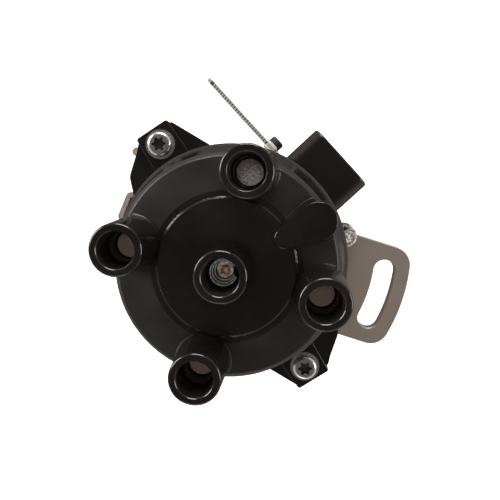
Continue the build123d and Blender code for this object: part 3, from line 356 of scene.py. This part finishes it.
def ladderShadedNylon():
    # the same nylon on the cable tie: clear enough at its rims to pass light, with painted shade in its
    # ladder, darker deeper between the teeth
    material, tree, shader, place = newMaterial("ladderShadedNylon", IOR=1.53, Roughness=0.35)
    cloud = addNode(tree, "ShaderNodeTexNoise",
                    {"Vector": place, "Scale": scaleFor(1.4), "Detail": 3}).outputs["Fac"]
    height = addNode(tree, "ShaderNodeSeparateXYZ", {"Vector": place}).outputs["Z"]
    crest = (tieSettings["tailHeight"] + tieSettings["thick"] / 2) * mm
    low = addNode(tree, "ShaderNodeMapRange",
                  {"Value": height, "From Min": crest - tieSettings["ladderShadeFull"] * mm,
                   "From Max": crest - tieSettings["ladderShadeNone"] * mm,
                   "To Min": 1.0, "To Max": 0.0}).outputs[0]
    origin, across = tieFrame().translation * mm, tieFrame().to_3x3().col[1]
    offset = addNode(tree, "ShaderNodeVectorMath", {0: place, 1: origin}, operation="SUBTRACT").outputs[0]
    side = addNode(tree, "ShaderNodeVectorMath",
                   {0: offset, 1: across}, operation="DOT_PRODUCT").outputs["Value"]
    reach = (tieSettings["width"] / 2 - tieSettings["rail"] + tieSettings["ladderMargin"]) * mm
    ladder = addNode(tree, "ShaderNodeMath", {0: side, 1: 0.0, 2: reach}, operation="COMPARE").outputs[0]
    above = addNode(tree, "ShaderNodeMath", {0: height, 1: crest - tieSettings["ladderDepth"] * mm},
                    operation="GREATER_THAN").outputs[0]
    onLadder = addNode(tree, "ShaderNodeMath", {0: ladder, 1: above}, operation="MULTIPLY").outputs[0]
    plainNylon = addNode(tree, "ShaderNodeMix", {0: cloud, 6: linearColour("#d6d8d5"), 7: linearColour("#bbbdb9")},
                    data_type="RGBA").outputs[2]
    # painted shade: on the ladder the nylon turns dark grey, darkest furthest below the crest
    rungShade = addNode(tree, "ShaderNodeMix", {0: low, 6: linearColour("#8e8f8c"), 7: linearColour("#31312f")},
                   data_type="RGBA").outputs[2]
    colour = addNode(tree, "ShaderNodeMix", {0: onLadder, 6: plainNylon, 7: rungShade}, data_type="RGBA").outputs[2]
    through = addNode(tree, "ShaderNodeMapRange",
                      {"Value": onLadder, "To Min": 0.35, "To Max": 0.1}).outputs[0]
    tree.links.new(through, shader.inputs["Transmission Weight"])
    plugInto(tree, shader, colour)
    return material


def turnedBrass():
    # free cutting brass, turned and slightly tarnished
    material, tree, shader, place = newMaterial("turnedBrass", Metallic=1.0)
    tarnish = addNode(tree, "ShaderNodeTexNoise",
                      {"Vector": place, "Scale": scaleFor(3), "Detail": 4}).outputs["Fac"]
    colour = addNode(tree, "ShaderNodeMix",
                     {0: tarnish, 6: linearColour("#c7a35a"), 7: linearColour("#94713a")},
                     data_type="RGBA").outputs[2]
    rough = addNode(tree, "ShaderNodeMapRange", {"Value": tarnish, "To Min": 0.22, "To Max": 0.42}).outputs[0]
    plugInto(tree, shader, colour, rough)
    return material


def tinnedCopper():
    # copper strip, hot tinned: soft pale metal with copper near the surface
    material, tree, shader, place = newMaterial("tinnedCopper", Metallic=1.0, Roughness=0.3)
    wipe = addNode(tree, "ShaderNodeTexNoise",
                   {"Vector": place, "Scale": scaleFor(1.5), "Detail": 3}).outputs["Fac"]
    colour = addNode(tree, "ShaderNodeMix", {0: wipe, 6: linearColour("#d3cec3"), 7: linearColour("#b39f8c")},
                     data_type="RGBA").outputs[2]
    plugInto(tree, shader, colour)
    return material


def brownPhenolic():
    # rotor moulding: brown phenolic with a mottled wood flour filler
    material, tree, shader, place = newMaterial("brownPhenolic", IOR=1.55, Roughness=0.42)
    mottle = addNode(tree, "ShaderNodeTexNoise",
                     {"Vector": place, "Scale": scaleFor(2.4), "Detail": 5}).outputs["Fac"]
    colour = addNode(tree, "ShaderNodeMix",
                     {0: mottle, 6: linearColour("#3a251a"), 7: linearColour("#54382a")},
                     data_type="RGBA").outputs[2]
    plugInto(tree, shader, colour)
    return material


def pressedCarbon():
    # carbon brush, pressed and sintered: near black with a grey glint
    material, tree, shader, place = newMaterial("pressedCarbon", Roughness=0.55)
    # grains are about 0.05 mm, drawn at 0.5 mm
    glint = addNode(tree, "ShaderNodeTexNoise",
                    {"Vector": place, "Scale": scaleFor(0.5), "Detail": 3}).outputs["Fac"]
    colour = addNode(tree, "ShaderNodeMix",
                     {0: glint, 6: linearColour("#161616"), 7: linearColour("#3b3b3c")},
                     data_type="RGBA").outputs[2]
    plugInto(tree, shader, colour)
    return material


contactSettings = {
    "metalShare": 0.5, "pitPatch": 0.7,
    "wornFrom": 8, "wornFull": 6,  # mm from the most worn tower's axis
    # on the next line, the painted highlight: its offset from the worn tower's axis, then its near and far
    # reach
    "litSide": (2.0, -2.3), "litSideNear": 2, "litSideFar": 6,
}


def castContact():
    # aluminium contact, cast: brown grey with soot, with bright pits where the clip rubs, more of them
    # towards one side as a painted highlight; the share of bare metal is matched
    material, tree, shader, place = newMaterial("castContact", Metallic=contactSettings["metalShare"])
    pits = addNode(tree, "ShaderNodeTexNoise",
                   {"Vector": place, "Scale": scaleFor(contactSettings["pitPatch"]), "Detail": 8,
                    "Roughness": 0.85}).outputs["Fac"]
    mostWorn = max(towerPlaces, key=lambda tower: tower.y)  # the tower towards +Y
    level = addNode(tree, "ShaderNodeVectorMath", {0: place, 1: (1, 1, 0)}, operation="MULTIPLY").outputs[0]
    apart = addNode(tree, "ShaderNodeVectorMath", {0: level, 1: (mostWorn.x, mostWorn.y, 0)},
                    operation="DISTANCE").outputs["Value"]
    worn = addNode(tree, "ShaderNodeMapRange",
                   {"Value": apart, "From Min": contactSettings["wornFrom"] * mm,
                    "From Max": contactSettings["wornFull"] * mm}).outputs[0]
    soot = addNode(tree, "ShaderNodeMix", {0: pits, 6: linearColour("#8f7f76"), 7: linearColour("#a8988f")},
                   data_type="RGBA").outputs[2]
    # painted highlight: the pits' threshold drops near one side of the worn contact, so more bright specks
    # show there
    shiftX, shiftY = contactSettings["litSide"]
    litSide = (mostWorn.x + shiftX * mm, mostWorn.y + shiftY * mm, 0)
    aside = addNode(tree, "ShaderNodeVectorMath",
                    {0: level, 1: litSide}, operation="DISTANCE").outputs["Value"]
    threshold = addNode(tree, "ShaderNodeMapRange",
                        {"Value": aside, "From Min": contactSettings["litSideNear"] * mm,
                         "From Max": contactSettings["litSideFar"] * mm,
                         "To Min": 0.44, "To Max": 0.54}).outputs[0]
    over = addNode(tree, "ShaderNodeMath", {0: pits, 1: threshold}, operation="SUBTRACT").outputs[0]
    speck = addNode(tree, "ShaderNodeMapRange", {"Value": over, "From Min": 0.0, "From Max": 0.05}).outputs[0]
    wornPitsAndHighlight = addNode(tree, "ShaderNodeMix",
                     {0: speck, 6: linearColour("#a0968e"), 7: linearColour("#ffffff")},
                     data_type="RGBA").outputs[2]
    colour = addNode(tree, "ShaderNodeMix", {0: worn, 6: soot, 7: wornPitsAndHighlight}, data_type="RGBA").outputs[2]
    rough = addNode(tree, "ShaderNodeMapRange", {"Value": worn, "To Min": 0.55, "To Max": 0.3}).outputs[0]
    push = addNode(tree, "ShaderNodeMapRange", {"Value": worn, "To Min": 0.25, "To Max": 0.9}).outputs[0]
    relief = addNode(tree, "ShaderNodeBump",
                     {"Height": pits, "Strength": push, "Distance": 0.4 * mm}).outputs[0]
    plugInto(tree, shader, colour, rough, relief)
    return material


finish = {
    "cast_aluminium": blastedAluminium(),
    "black_bakelite": mouldedPhenolic(),
    "aluminium_terminal": castContact(),
    "brown_phenolic": brownPhenolic(),
    "brass": turnedBrass(),
    "tinned_copper": tinnedCopper(),
    "zinc_steel": zincPlate(),
    "bearing_steel": groundSteel(),
    "black_rubber": nitrileRubber(),
    "black_nylon": glassFilledNylon(),
    "natural_nylon": naturalNylon(),
    "carbon": pressedCarbon(),
}
slotOf = {part["node"]: part["material_slot"] for part in frame["record"]["subparts"]}
bodyOf = {name: body for body, members in frame["record"]["behaviour"]["bodies"].items() for name in members}
for name, node in nodes.items():
    node.data.materials.clear()
    node.data.materials.append(finish[slotOf[name]])
print("finishes:", len(finish))


# nodes in open view, as merged copies with even shading over their roundings

shadedCopies = {
    "distributor_cap": "capMoulding", "spark_towers": "sparkTowers", "coil_tower": "coilTower",
    "housing": "housingCasting", "connector_housing": "connectorShroud", "vent_cap": "ventCap",
    "vent_nipple": "ventNipple", "cap_screws": "capScrews", "cap_washers": "capWashers",
    "side_electrodes": "towerContacts", "drive_coupling": "driveDog",
    "coupling_pin": "dogPin", "o_ring": "pilotRing", "connector_pins": "connectorBlades",
    "cap_gasket": "capSeal",
}
copySettings = {
    "mergeWithin": 0.002, "broadFrom": 1.5,  # mm
    "sharpAngle": 32, "broadSharpAngle": 12,  # degrees
}


def breadth(face):
    return 2 * face.calc_area() / max(edge.calc_length() for edge in face.edges)


def keepCorners(shape):
    # an edge is a corner where it turns far, or turns at all between two broad faces; the rest are roundings
    narrow, wide = radians(copySettings["sharpAngle"]), radians(copySettings["broadSharpAngle"])
    broad = {face for face in shape.faces if breadth(face) > copySettings["broadFrom"] * mm}
    for face in shape.faces:
        face.smooth = True
    for edge in shape.edges:
        turn = edge.calc_face_angle(pi)
        edge.smooth = not (turn > narrow or (turn > wide and broad.issuperset(edge.link_faces)))


def shadedCopy(node, name):
    mesh = nodes[node].data.copy()
    shape = bmesh.new()
    shape.from_mesh(mesh)
    bmesh.ops.remove_doubles(shape, verts=shape.verts, dist=copySettings["mergeWithin"] * mm)
    keepCorners(shape)
    shape.to_mesh(mesh)
    shape.free()
    piece = linkedObject(name, mesh)
    evenShading(piece)
    finished(name, piece, finish[slotOf[node]], bodyOf[node], node)


for node, name in shadedCopies.items():
    shadedCopy(node, name)
print("shaded copies:", len(shadedCopies))


# contact in the middle tower: a turned cup with three sprung rings, open on one side, over a copper rivet

cupSettings = {
    "wall": ((0, 60.0), (4.98, 60.0), (4.98, 62.0), (2.95, 62.0), (2.8, 64.6),
             (1.7, 64.8), (1.5, 65.1), (0.9, 65.4), (0, 65.5)),  # radius, height in mm
    "rings": ((4.6, 4.2, 71.7), (4.06, 3.66, 69.3), (3.46, 3.1, 66.8)),  # outer, inner, top in mm
    "ringFoot": 61.8, "ringRound": 0.12, "gapBearing": 22.0, "gapHalf": 24.0,
    # on the next line, the last two set the painted light: how far up a face turns, and the height it starts
    # from
    "copperWithin": 1.9, "copperFull": 0.85, "litFacingRange": (0.35, 0.8), "litAboveHeight": 63.0,
    "metalShare": 0.4, "mergeWithin": 0.001, "steps": 72, "smoothAngle": 35,
}


def turnedContact():
    # aluminium contact, turned: painted light where it faces up, painted shade down its walls and low in the
    # cup, copper in the rivet;
    # the share of bare metal is matched
    material, tree, shader, place = newMaterial("turnedContact", Metallic=cupSettings["metalShare"],
                                                Roughness=0.3)
    wear = addNode(tree, "ShaderNodeTexNoise",
                   {"Vector": place, "Scale": scaleFor(1.1), "Detail": 6}).outputs["Fac"]
    streak = addNode(tree, "ShaderNodeMapRange", {"Value": wear, "From Min": 0.4, "From Max": 0.6}).outputs[0]
    level = addNode(tree, "ShaderNodeVectorMath", {0: place, 1: (1, 1, 0)}, operation="MULTIPLY").outputs[0]
    fromAxis = addNode(tree, "ShaderNodeVectorMath", {0: level}, operation="LENGTH").outputs["Value"]
    within = cupSettings["copperWithin"] * mm
    copper = addNode(tree, "ShaderNodeMapRange",
                     {"Value": fromAxis, "From Min": within,
                      "From Max": within * cupSettings["copperFull"]}).outputs[0]
    pale = addNode(tree, "ShaderNodeMix", {0: streak, 6: linearColour("#b7b0a6"), 7: linearColour("#ffffff")},
                   data_type="RGBA").outputs[2]
    red = addNode(tree, "ShaderNodeMix", {0: streak, 6: linearColour("#8a5140"), 7: linearColour("#ffd9c4")},
                  data_type="RGBA").outputs[2]
    metal = addNode(tree, "ShaderNodeMix", {0: copper, 6: pale, 7: red}, data_type="RGBA").outputs[2]
    # painted light and shade: faces turned up, above the cup's floor, take the metal colour; the rest take a
    # dark shade colour
    facing = addNode(tree, "ShaderNodeNewGeometry").outputs["Normal"]
    upward = addNode(tree, "ShaderNodeSeparateXYZ", {"Vector": facing}).outputs["Z"]
    low, high = cupSettings["litFacingRange"]
    litByFacing = addNode(tree, "ShaderNodeMapRange",
                    {"Value": upward, "From Min": low, "From Max": high}).outputs[0]
    height = addNode(tree, "ShaderNodeSeparateXYZ", {"Vector": place}).outputs["Z"]
    raised = addNode(tree, "ShaderNodeMath", {0: height, 1: cupSettings["litAboveHeight"] * mm},
                     operation="GREATER_THAN").outputs[0]
    paintedLightMask = addNode(tree, "ShaderNodeMath", {0: litByFacing, 1: raised}, operation="MULTIPLY").outputs[0]
    colour = addNode(tree, "ShaderNodeMix", {0: paintedLightMask, 6: linearColour("#221e1b"), 7: metal},
                     data_type="RGBA").outputs[2]
    relief = addNode(tree, "ShaderNodeBump",
                     {"Height": wear, "Strength": 0.7, "Distance": 0.4 * mm}).outputs[0]
    plugInto(tree, shader, colour, relief=relief)
    return material


def turnedShape(shape, profile, firstAngle=0.0, lastAngle=360.0):
    # turns a profile of (radius, height) about the axis; a full turn joins up, a part turn gets end faces
    steps = max(3, round(cupSettings["steps"] * (lastAngle - firstAngle) / 360))
    whole = lastAngle - firstAngle > 359.9
    angles = [radians(firstAngle + (lastAngle - firstAngle) * step / steps)
              for step in range(steps + (not whole))]
    columns = [[shape.verts.new((radius * cos(angle), radius * sin(angle), height))
                for radius, height in profile] for angle in angles]
    pairs = list(zip(columns, columns[1:])) + ([(columns[-1], columns[0])] if whole else [])
    for first, second in pairs:
        for k in range(len(profile)):
            shape.faces.new((first[k - 1], first[k], second[k], second[k - 1]))
    if not whole:
        shape.faces.new(columns[0])
        shape.faces.new(reversed(columns[-1]))


def coilContact():
    shape = bmesh.new()
    turnedShape(shape, cupSettings["wall"])
    foot, edge = cupSettings["ringFoot"], cupSettings["ringRound"]
    start = cupSettings["gapBearing"] + cupSettings["gapHalf"]
    end = cupSettings["gapBearing"] - cupSettings["gapHalf"] + 360
    for outer, inner, top in cupSettings["rings"]:
        section = ((outer, foot), (outer, top - edge), (outer - edge, top), (inner + edge, top),
                   (inner, top - edge), (inner, foot))
        turnedShape(shape, section, start, end)
    bmesh.ops.remove_doubles(shape, verts=shape.verts, dist=cupSettings["mergeWithin"])
    bmesh.ops.dissolve_degenerate(shape, edges=shape.edges, dist=cupSettings["mergeWithin"])
    bmesh.ops.recalc_face_normals(shape, faces=shape.faces)
    mesh = bpy.data.meshes.new("coilContact")
    shape.to_mesh(mesh)
    shape.free()
    mesh.transform(Matrix.Scale(mm, 4))
    smoothByAngle(mesh, cupSettings["smoothAngle"])
    piece = linkedObject("coilContact", mesh)
    finished("coilContact", piece, turnedContact(), bodyOf["centre_terminal"], "centre_terminal")


coilContact()
print("coil contact done")


# cable tie: a strap with a moulded ladder of teeth, its loop and its locking head

def strapSection(width, channel=True):
    # corners of the strap's section: (across, out), the channel on the outer side
    half, thick = width / 2, tieSettings["thick"] / 2
    if not channel:
        return [(-half, -thick), (half, -thick), (half, thick), (-half, thick)]
    inner, floor = half - tieSettings["rail"], thick - tieSettings["channelDepth"]
    return [(-half, -thick), (half, -thick), (half, thick), (inner, thick), (inner, floor),
            (-inner, floor), (-inner, thick), (-half, thick)]


def sweptStrap(shape, stations, closed=False):
    # stations: a middle point, the outward direction and a section each
    rings = []
    for middle, outward, section in stations:
        rings.append([shape.verts.new(middle + Vector((0, across, 0)) + outward * out)
                      for across, out in section])
    pairs = list(zip(rings, rings[1:])) + ([(rings[-1], rings[0])] if closed else [])
    for first, second in pairs:
        for k in range(len(first)):
            shape.faces.new((first[k], first[k - 1], second[k - 1], second[k]))
    if not closed:
        shape.faces.new(rings[0])
        shape.faces.new(reversed(rings[-1]))


def tieTail(shape):
    height = tieSettings["tailHeight"] - tieSettings["centre"][2]
    up = Vector((0, 0, 1))
    length, point = tieSettings["tailLength"], tieSettings["pointLength"]
    full, tip = strapSection(tieSettings["width"]), strapSection(tieSettings["pointWidth"], False)
    start, neck = Vector((tieSettings["tailStart"], 0, height)), Vector((length - point, 0, height))
    sweptStrap(shape, [(start, up, full), (neck, up, full)])
    root = strapSection(tieSettings["width"], False)
    sweptStrap(shape, [(neck, up, root), (Vector((length, 0, height)), up, tip)])


def tieLoop(shape):
    steps, radius = tieSettings["loopSteps"], tieSettings["loopRadius"]
    section = strapSection(tieSettings["width"], False)
    stations = []
    for step in range(steps):
        angle = 2 * pi * step / steps
        outward = Vector((cos(angle), 0, sin(angle)))
        stations.append((outward * radius, outward, section))
    sweptStrap(shape, stations, closed=True)


def tieHead(shape):
    length, width, height = tieSettings["head"]
    middle = tieSettings["tailHeight"] - tieSettings["centre"][2] + tieSettings["headRise"]
    made = bmesh.ops.create_cube(shape, size=1.0)["verts"]
    bmesh.ops.scale(shape, vec=(length, width, height), verts=made)
    bmesh.ops.translate(shape, vec=(0, 0, middle), verts=made)
    edges = list({edge for vert in made for edge in vert.link_edges})
    bmesh.ops.bevel(shape, geom=edges, offset=tieSettings["headRound"], segments=3, affect="EDGES",
                    profile=0.5)


def toothTree(material):
    # saw teeth in a row along x, each a short block tilted back
    tree = bpy.data.node_groups.new("ratchetTeeth", "GeometryNodeTree")
    face = tree.interface
    face.new_socket("Geometry", in_out="OUTPUT", socket_type="NodeSocketGeometry")
    face.new_socket("Geometry", in_out="INPUT", socket_type="NodeSocketGeometry")
    sockets = {}
    for name, kind in (("Teeth", "Int"), ("Pitch", "Float"), ("Length", "Float"), ("Width", "Float"),
                       ("Height", "Float"), ("Tilt", "Float"), ("Start", "Vector")):
        sockets[name] = face.new_socket(name, in_out="INPUT", socket_type="NodeSocket" + kind).identifier
    given = addNode(tree, "NodeGroupInput").outputs
    step = addNode(tree, "ShaderNodeCombineXYZ", {"X": given["Pitch"]}).outputs[0]
    row = addNode(tree, "GeometryNodeMeshLine", {"Count": given["Teeth"], "Start Location": given["Start"],
                                                 "Offset": step}).outputs[0]
    size = addNode(tree, "ShaderNodeCombineXYZ", {"X": given["Length"], "Y": given["Width"],
                                                  "Z": given["Height"]}).outputs[0]
    block = addNode(tree, "GeometryNodeMeshCube", {"Size": size}).outputs[0]
    lean = addNode(tree, "ShaderNodeCombineXYZ", {"Y": given["Tilt"]}).outputs[0]
    turned = addNode(tree, "GeometryNodeTransform", {"Geometry": block, "Rotation": lean}).outputs[0]
    placed = addNode(tree, "GeometryNodeInstanceOnPoints", {"Points": row, "Instance": turned}).outputs[0]
    whole = addNode(tree, "GeometryNodeRealizeInstances", {"Geometry": placed}).outputs[0]
    dressed = addNode(tree, "GeometryNodeSetMaterial", {"Geometry": whole, "Material": material}).outputs[0]
    addNode(tree, "NodeGroupOutput", {0: dressed})
    return tree, sockets


def builtByNodes(name, tree, sockets, values):
    # runs a tree on an empty mesh and keeps the result as a plain mesh
    seat = linkedObject(name, bpy.data.meshes.new(name))
    maker = seat.modifiers.new("maker", "NODES")
    maker.node_group = tree
    for key, value in values.items():
        maker[sockets[key]] = value
    graph = bpy.context.evaluated_depsgraph_get()
    mesh = bpy.data.meshes.new_from_object(seat.evaluated_get(graph))
    bpy.data.objects.remove(seat)
    return mesh


def cableTie():
    height = tieSettings["tailHeight"] - tieSettings["centre"][2]
    run = tieSettings["tailLength"] - tieSettings["pointLength"] - tieSettings["firstTooth"]
    seat = height + tieSettings["thick"] / 2 - tieSettings["toothHeight"] / 2 - tieSettings["toothSink"]
    nylon = ladderShadedNylon()
    tree, sockets = toothTree(nylon)
    teeth = builtByNodes("tieTeeth", tree, sockets, {
        "Teeth": int(run / tieSettings["toothPitch"]), "Pitch": tieSettings["toothPitch"],
        "Length": tieSettings["toothLength"], "Width": tieSettings["width"] - 2 * tieSettings["rail"],
        "Height": tieSettings["toothHeight"], "Tilt": radians(tieSettings["toothTilt"]),
        "Start": (tieSettings["firstTooth"], 0.0, seat)})
    shape = bmesh.new()
    shape.from_mesh(teeth)
    tieTail(shape)
    tieLoop(shape)
    tieHead(shape)
    bmesh.ops.recalc_face_normals(shape, faces=shape.faces)
    mesh = bpy.data.meshes.new("cableTie")
    shape.to_mesh(mesh)
    shape.free()
    mesh.transform(Matrix.Scale(mm, 4) @ tieFrame())
    smoothByAngle(mesh, tieSettings["smoothAngle"])
    piece = linkedObject("cableTie", mesh)
    finished("cableTie", piece, nylon, bodyOf["cable_tie"], "cable_tie")


cableTie()
print("cable tie done")


# spring over the brush: a wire coiled up the height of the spring's box

springSettings = {"turns": 4.0, "wire": 0.5, "pointsInTurn": 28, "wireSides": 10, "smoothAngle": 50}


def coilTree(material):
    # a wire swept along a spiral that rises from the origin
    tree = bpy.data.node_groups.new("coilSpring", "GeometryNodeTree")
    face = tree.interface
    face.new_socket("Geometry", in_out="OUTPUT", socket_type="NodeSocketGeometry")
    face.new_socket("Geometry", in_out="INPUT", socket_type="NodeSocketGeometry")
    sockets = {}
    for name, kind in (("Turns", "Float"), ("Coil Radius", "Float"), ("Rise", "Float"),
                       ("Wire Radius", "Float"), ("Points", "Int"), ("Sides", "Int")):
        sockets[name] = face.new_socket(name, in_out="INPUT", socket_type="NodeSocket" + kind).identifier
    given = addNode(tree, "NodeGroupInput").outputs
    line = addNode(tree, "GeometryNodeCurveSpiral",
                   {"Resolution": given["Points"], "Rotations": given["Turns"],
                    "Start Radius": given["Coil Radius"], "End Radius": given["Coil Radius"],
                    "Height": given["Rise"]}).outputs[0]
    section = addNode(tree, "GeometryNodeCurvePrimitiveCircle", {"Resolution": given["Sides"],
                                                                 "Radius": given["Wire Radius"]}).outputs[0]
    wire = addNode(tree, "GeometryNodeCurveToMesh", {"Curve": line, "Profile Curve": section,
                                                     "Fill Caps": True}).outputs[0]
    whole = addNode(tree, "GeometryNodeRealizeInstances", {"Geometry": wire}).outputs[0]
    dressed = addNode(tree, "GeometryNodeSetMaterial", {"Geometry": whole, "Material": material}).outputs[0]
    addNode(tree, "NodeGroupOutput", {0: dressed})
    return tree, sockets


def brushSpring():
    low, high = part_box("brush_spring")
    wire = springSettings["wire"] * mm
    material = finish[slotOf["brush_spring"]]
    tree, sockets = coilTree(material)
    mesh = builtByNodes("brushSpring", tree, sockets, {
        "Turns": springSettings["turns"], "Coil Radius": (high[0] - low[0] - wire) / 2,
        "Rise": high[2] - low[2] - wire, "Wire Radius": wire / 2,
        "Points": springSettings["pointsInTurn"], "Sides": springSettings["wireSides"]})
    mesh.transform(Matrix.Translation((0, 0, low[2] + wire / 2)))
    smoothByAngle(mesh, springSettings["smoothAngle"])
    piece = linkedObject("brushSpring", mesh)
    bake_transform(piece)
    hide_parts("brush_spring")


brushSpring()
print("brush spring done")


# stage, light and camera

floorSettings = {"height": -48.2, "size": 40.0, "tone": "#f4f3f1", "glow": 0.75}
skySettings = {"overhead": 0.10, "horizon": 0.8, "clearAbove": 0.9, "tone": "#fff6f1"}
softboxes = {
    # place in metres, size in metres, watts, seen in gloss
    "backSoftbox": ((-0.25, 0.95, 0.42), 0.6, 11, True),
    "leftSoftbox": ((-0.95, 0.10, 0.40), 0.6, 11, True),
    "rightSoftbox": ((0.95, 0.25, 0.45), 0.5, 5, True),
    "frontSoftbox": ((0.1, -0.95, 0.45), 0.5, 1.5, True),
    "overheadSoftbox": ((0.0, 0.1, 1.1), 0.3, 3, False),
}
lampTone = "#fff7f2"
lampTarget = (0, 0, 0.03)  # metres, on the shaft's axis
cameraSettings = {
    "place": (9.24, 33.28, 270.94), "turn": (6.19, -2.90, -0.88), "frameTurn": -16.5,
    "focal": 621, "frameWidth": 500, "sensor": 36,
}


def paleFloor():
    size, height = floorSettings["size"] / 2, floorSettings["height"] * mm
    mesh = bpy.data.meshes.new("floor")
    corners = [(-size, -size, height), (size, -size, height), (size, size, height), (-size, size, height)]
    mesh.from_pydata(corners, [], [(0, 1, 2, 3)])
    # white paper sweep, lit through from below so that it stays shadowless
    material, _, shader, _ = newMaterial("paperSweep", Roughness=0.9)
    shader.inputs["Base Color"].default_value = linearColour(floorSettings["tone"])
    shader.inputs["Emission Color"].default_value = linearColour(floorSettings["tone"])
    shader.inputs["Emission Strength"].default_value = floorSettings["glow"]
    mesh.materials.append(material)
    floor = linkedObject("floor", mesh)
    floor.visible_glossy = False  # it would whiten every steep glossy side


def softLight(name, place, size, watts, inGloss):
    data = bpy.data.lights.new(name, "AREA")
    data.energy, data.size = watts, size
    data.color = linearColour(lampTone)[:3]
    lamp = linkedObject(name, data)
    lamp.visible_glossy = inGloss  # the overhead one only fills, so level gloss stays dark
    lamp.location = place
    lamp.rotation_euler = (Vector(lampTarget) - Vector(place)).to_track_quat("-Z", "Y").to_euler()


def studioSky():
    # bright near the horizon and dim overhead, so that level glossy faces stay dark
    world = bpy.data.worlds.new("studio")
    world.use_nodes = True
    bpy.context.scene.world = world
    tree = world.node_tree
    place = addNode(tree, "ShaderNodeTexCoord").outputs["Generated"]
    upward = addNode(tree, "ShaderNodeSeparateXYZ", {"Vector": place}).outputs["Z"]
    steepness = addNode(tree, "ShaderNodeMath", {0: upward}, operation="ABSOLUTE").outputs[0]
    ramp = addNode(tree, "ShaderNodeMapRange", {"Value": steepness, "From Max": skySettings["clearAbove"],
                                                "To Min": skySettings["horizon"],
                                                "To Max": skySettings["overhead"]}).outputs[0]
    backdrop = tree.nodes["Background"]
    backdrop.inputs["Color"].default_value = linearColour(skySettings["tone"])
    tree.links.new(ramp, backdrop.inputs["Strength"])


def camera():
    turnX, turnY, turnZ = cameraSettings["turn"]
    turned = (Matrix.Rotation(radians(turnX), 3, "X") @ Matrix.Rotation(radians(turnY), 3, "Y")
              @ Matrix.Rotation(radians(turnZ + cameraSettings["frameTurn"]), 3, "Z")).transposed()
    data = bpy.data.cameras.new("camera")
    data.lens = cameraSettings["focal"] * cameraSettings["sensor"] / cameraSettings["frameWidth"]
    seer = linkedObject("camera", data)
    seer.matrix_world = Matrix.Translation(Vector(cameraSettings["place"]) * mm) @ turned.to_4x4()
    bpy.context.scene.camera = seer


paleFloor()
for name, settings in softboxes.items():
    softLight(name, *settings)
studioSky()
camera()
bpy.context.scene.view_settings.view_transform = "Standard"
print("stage, light and camera done")
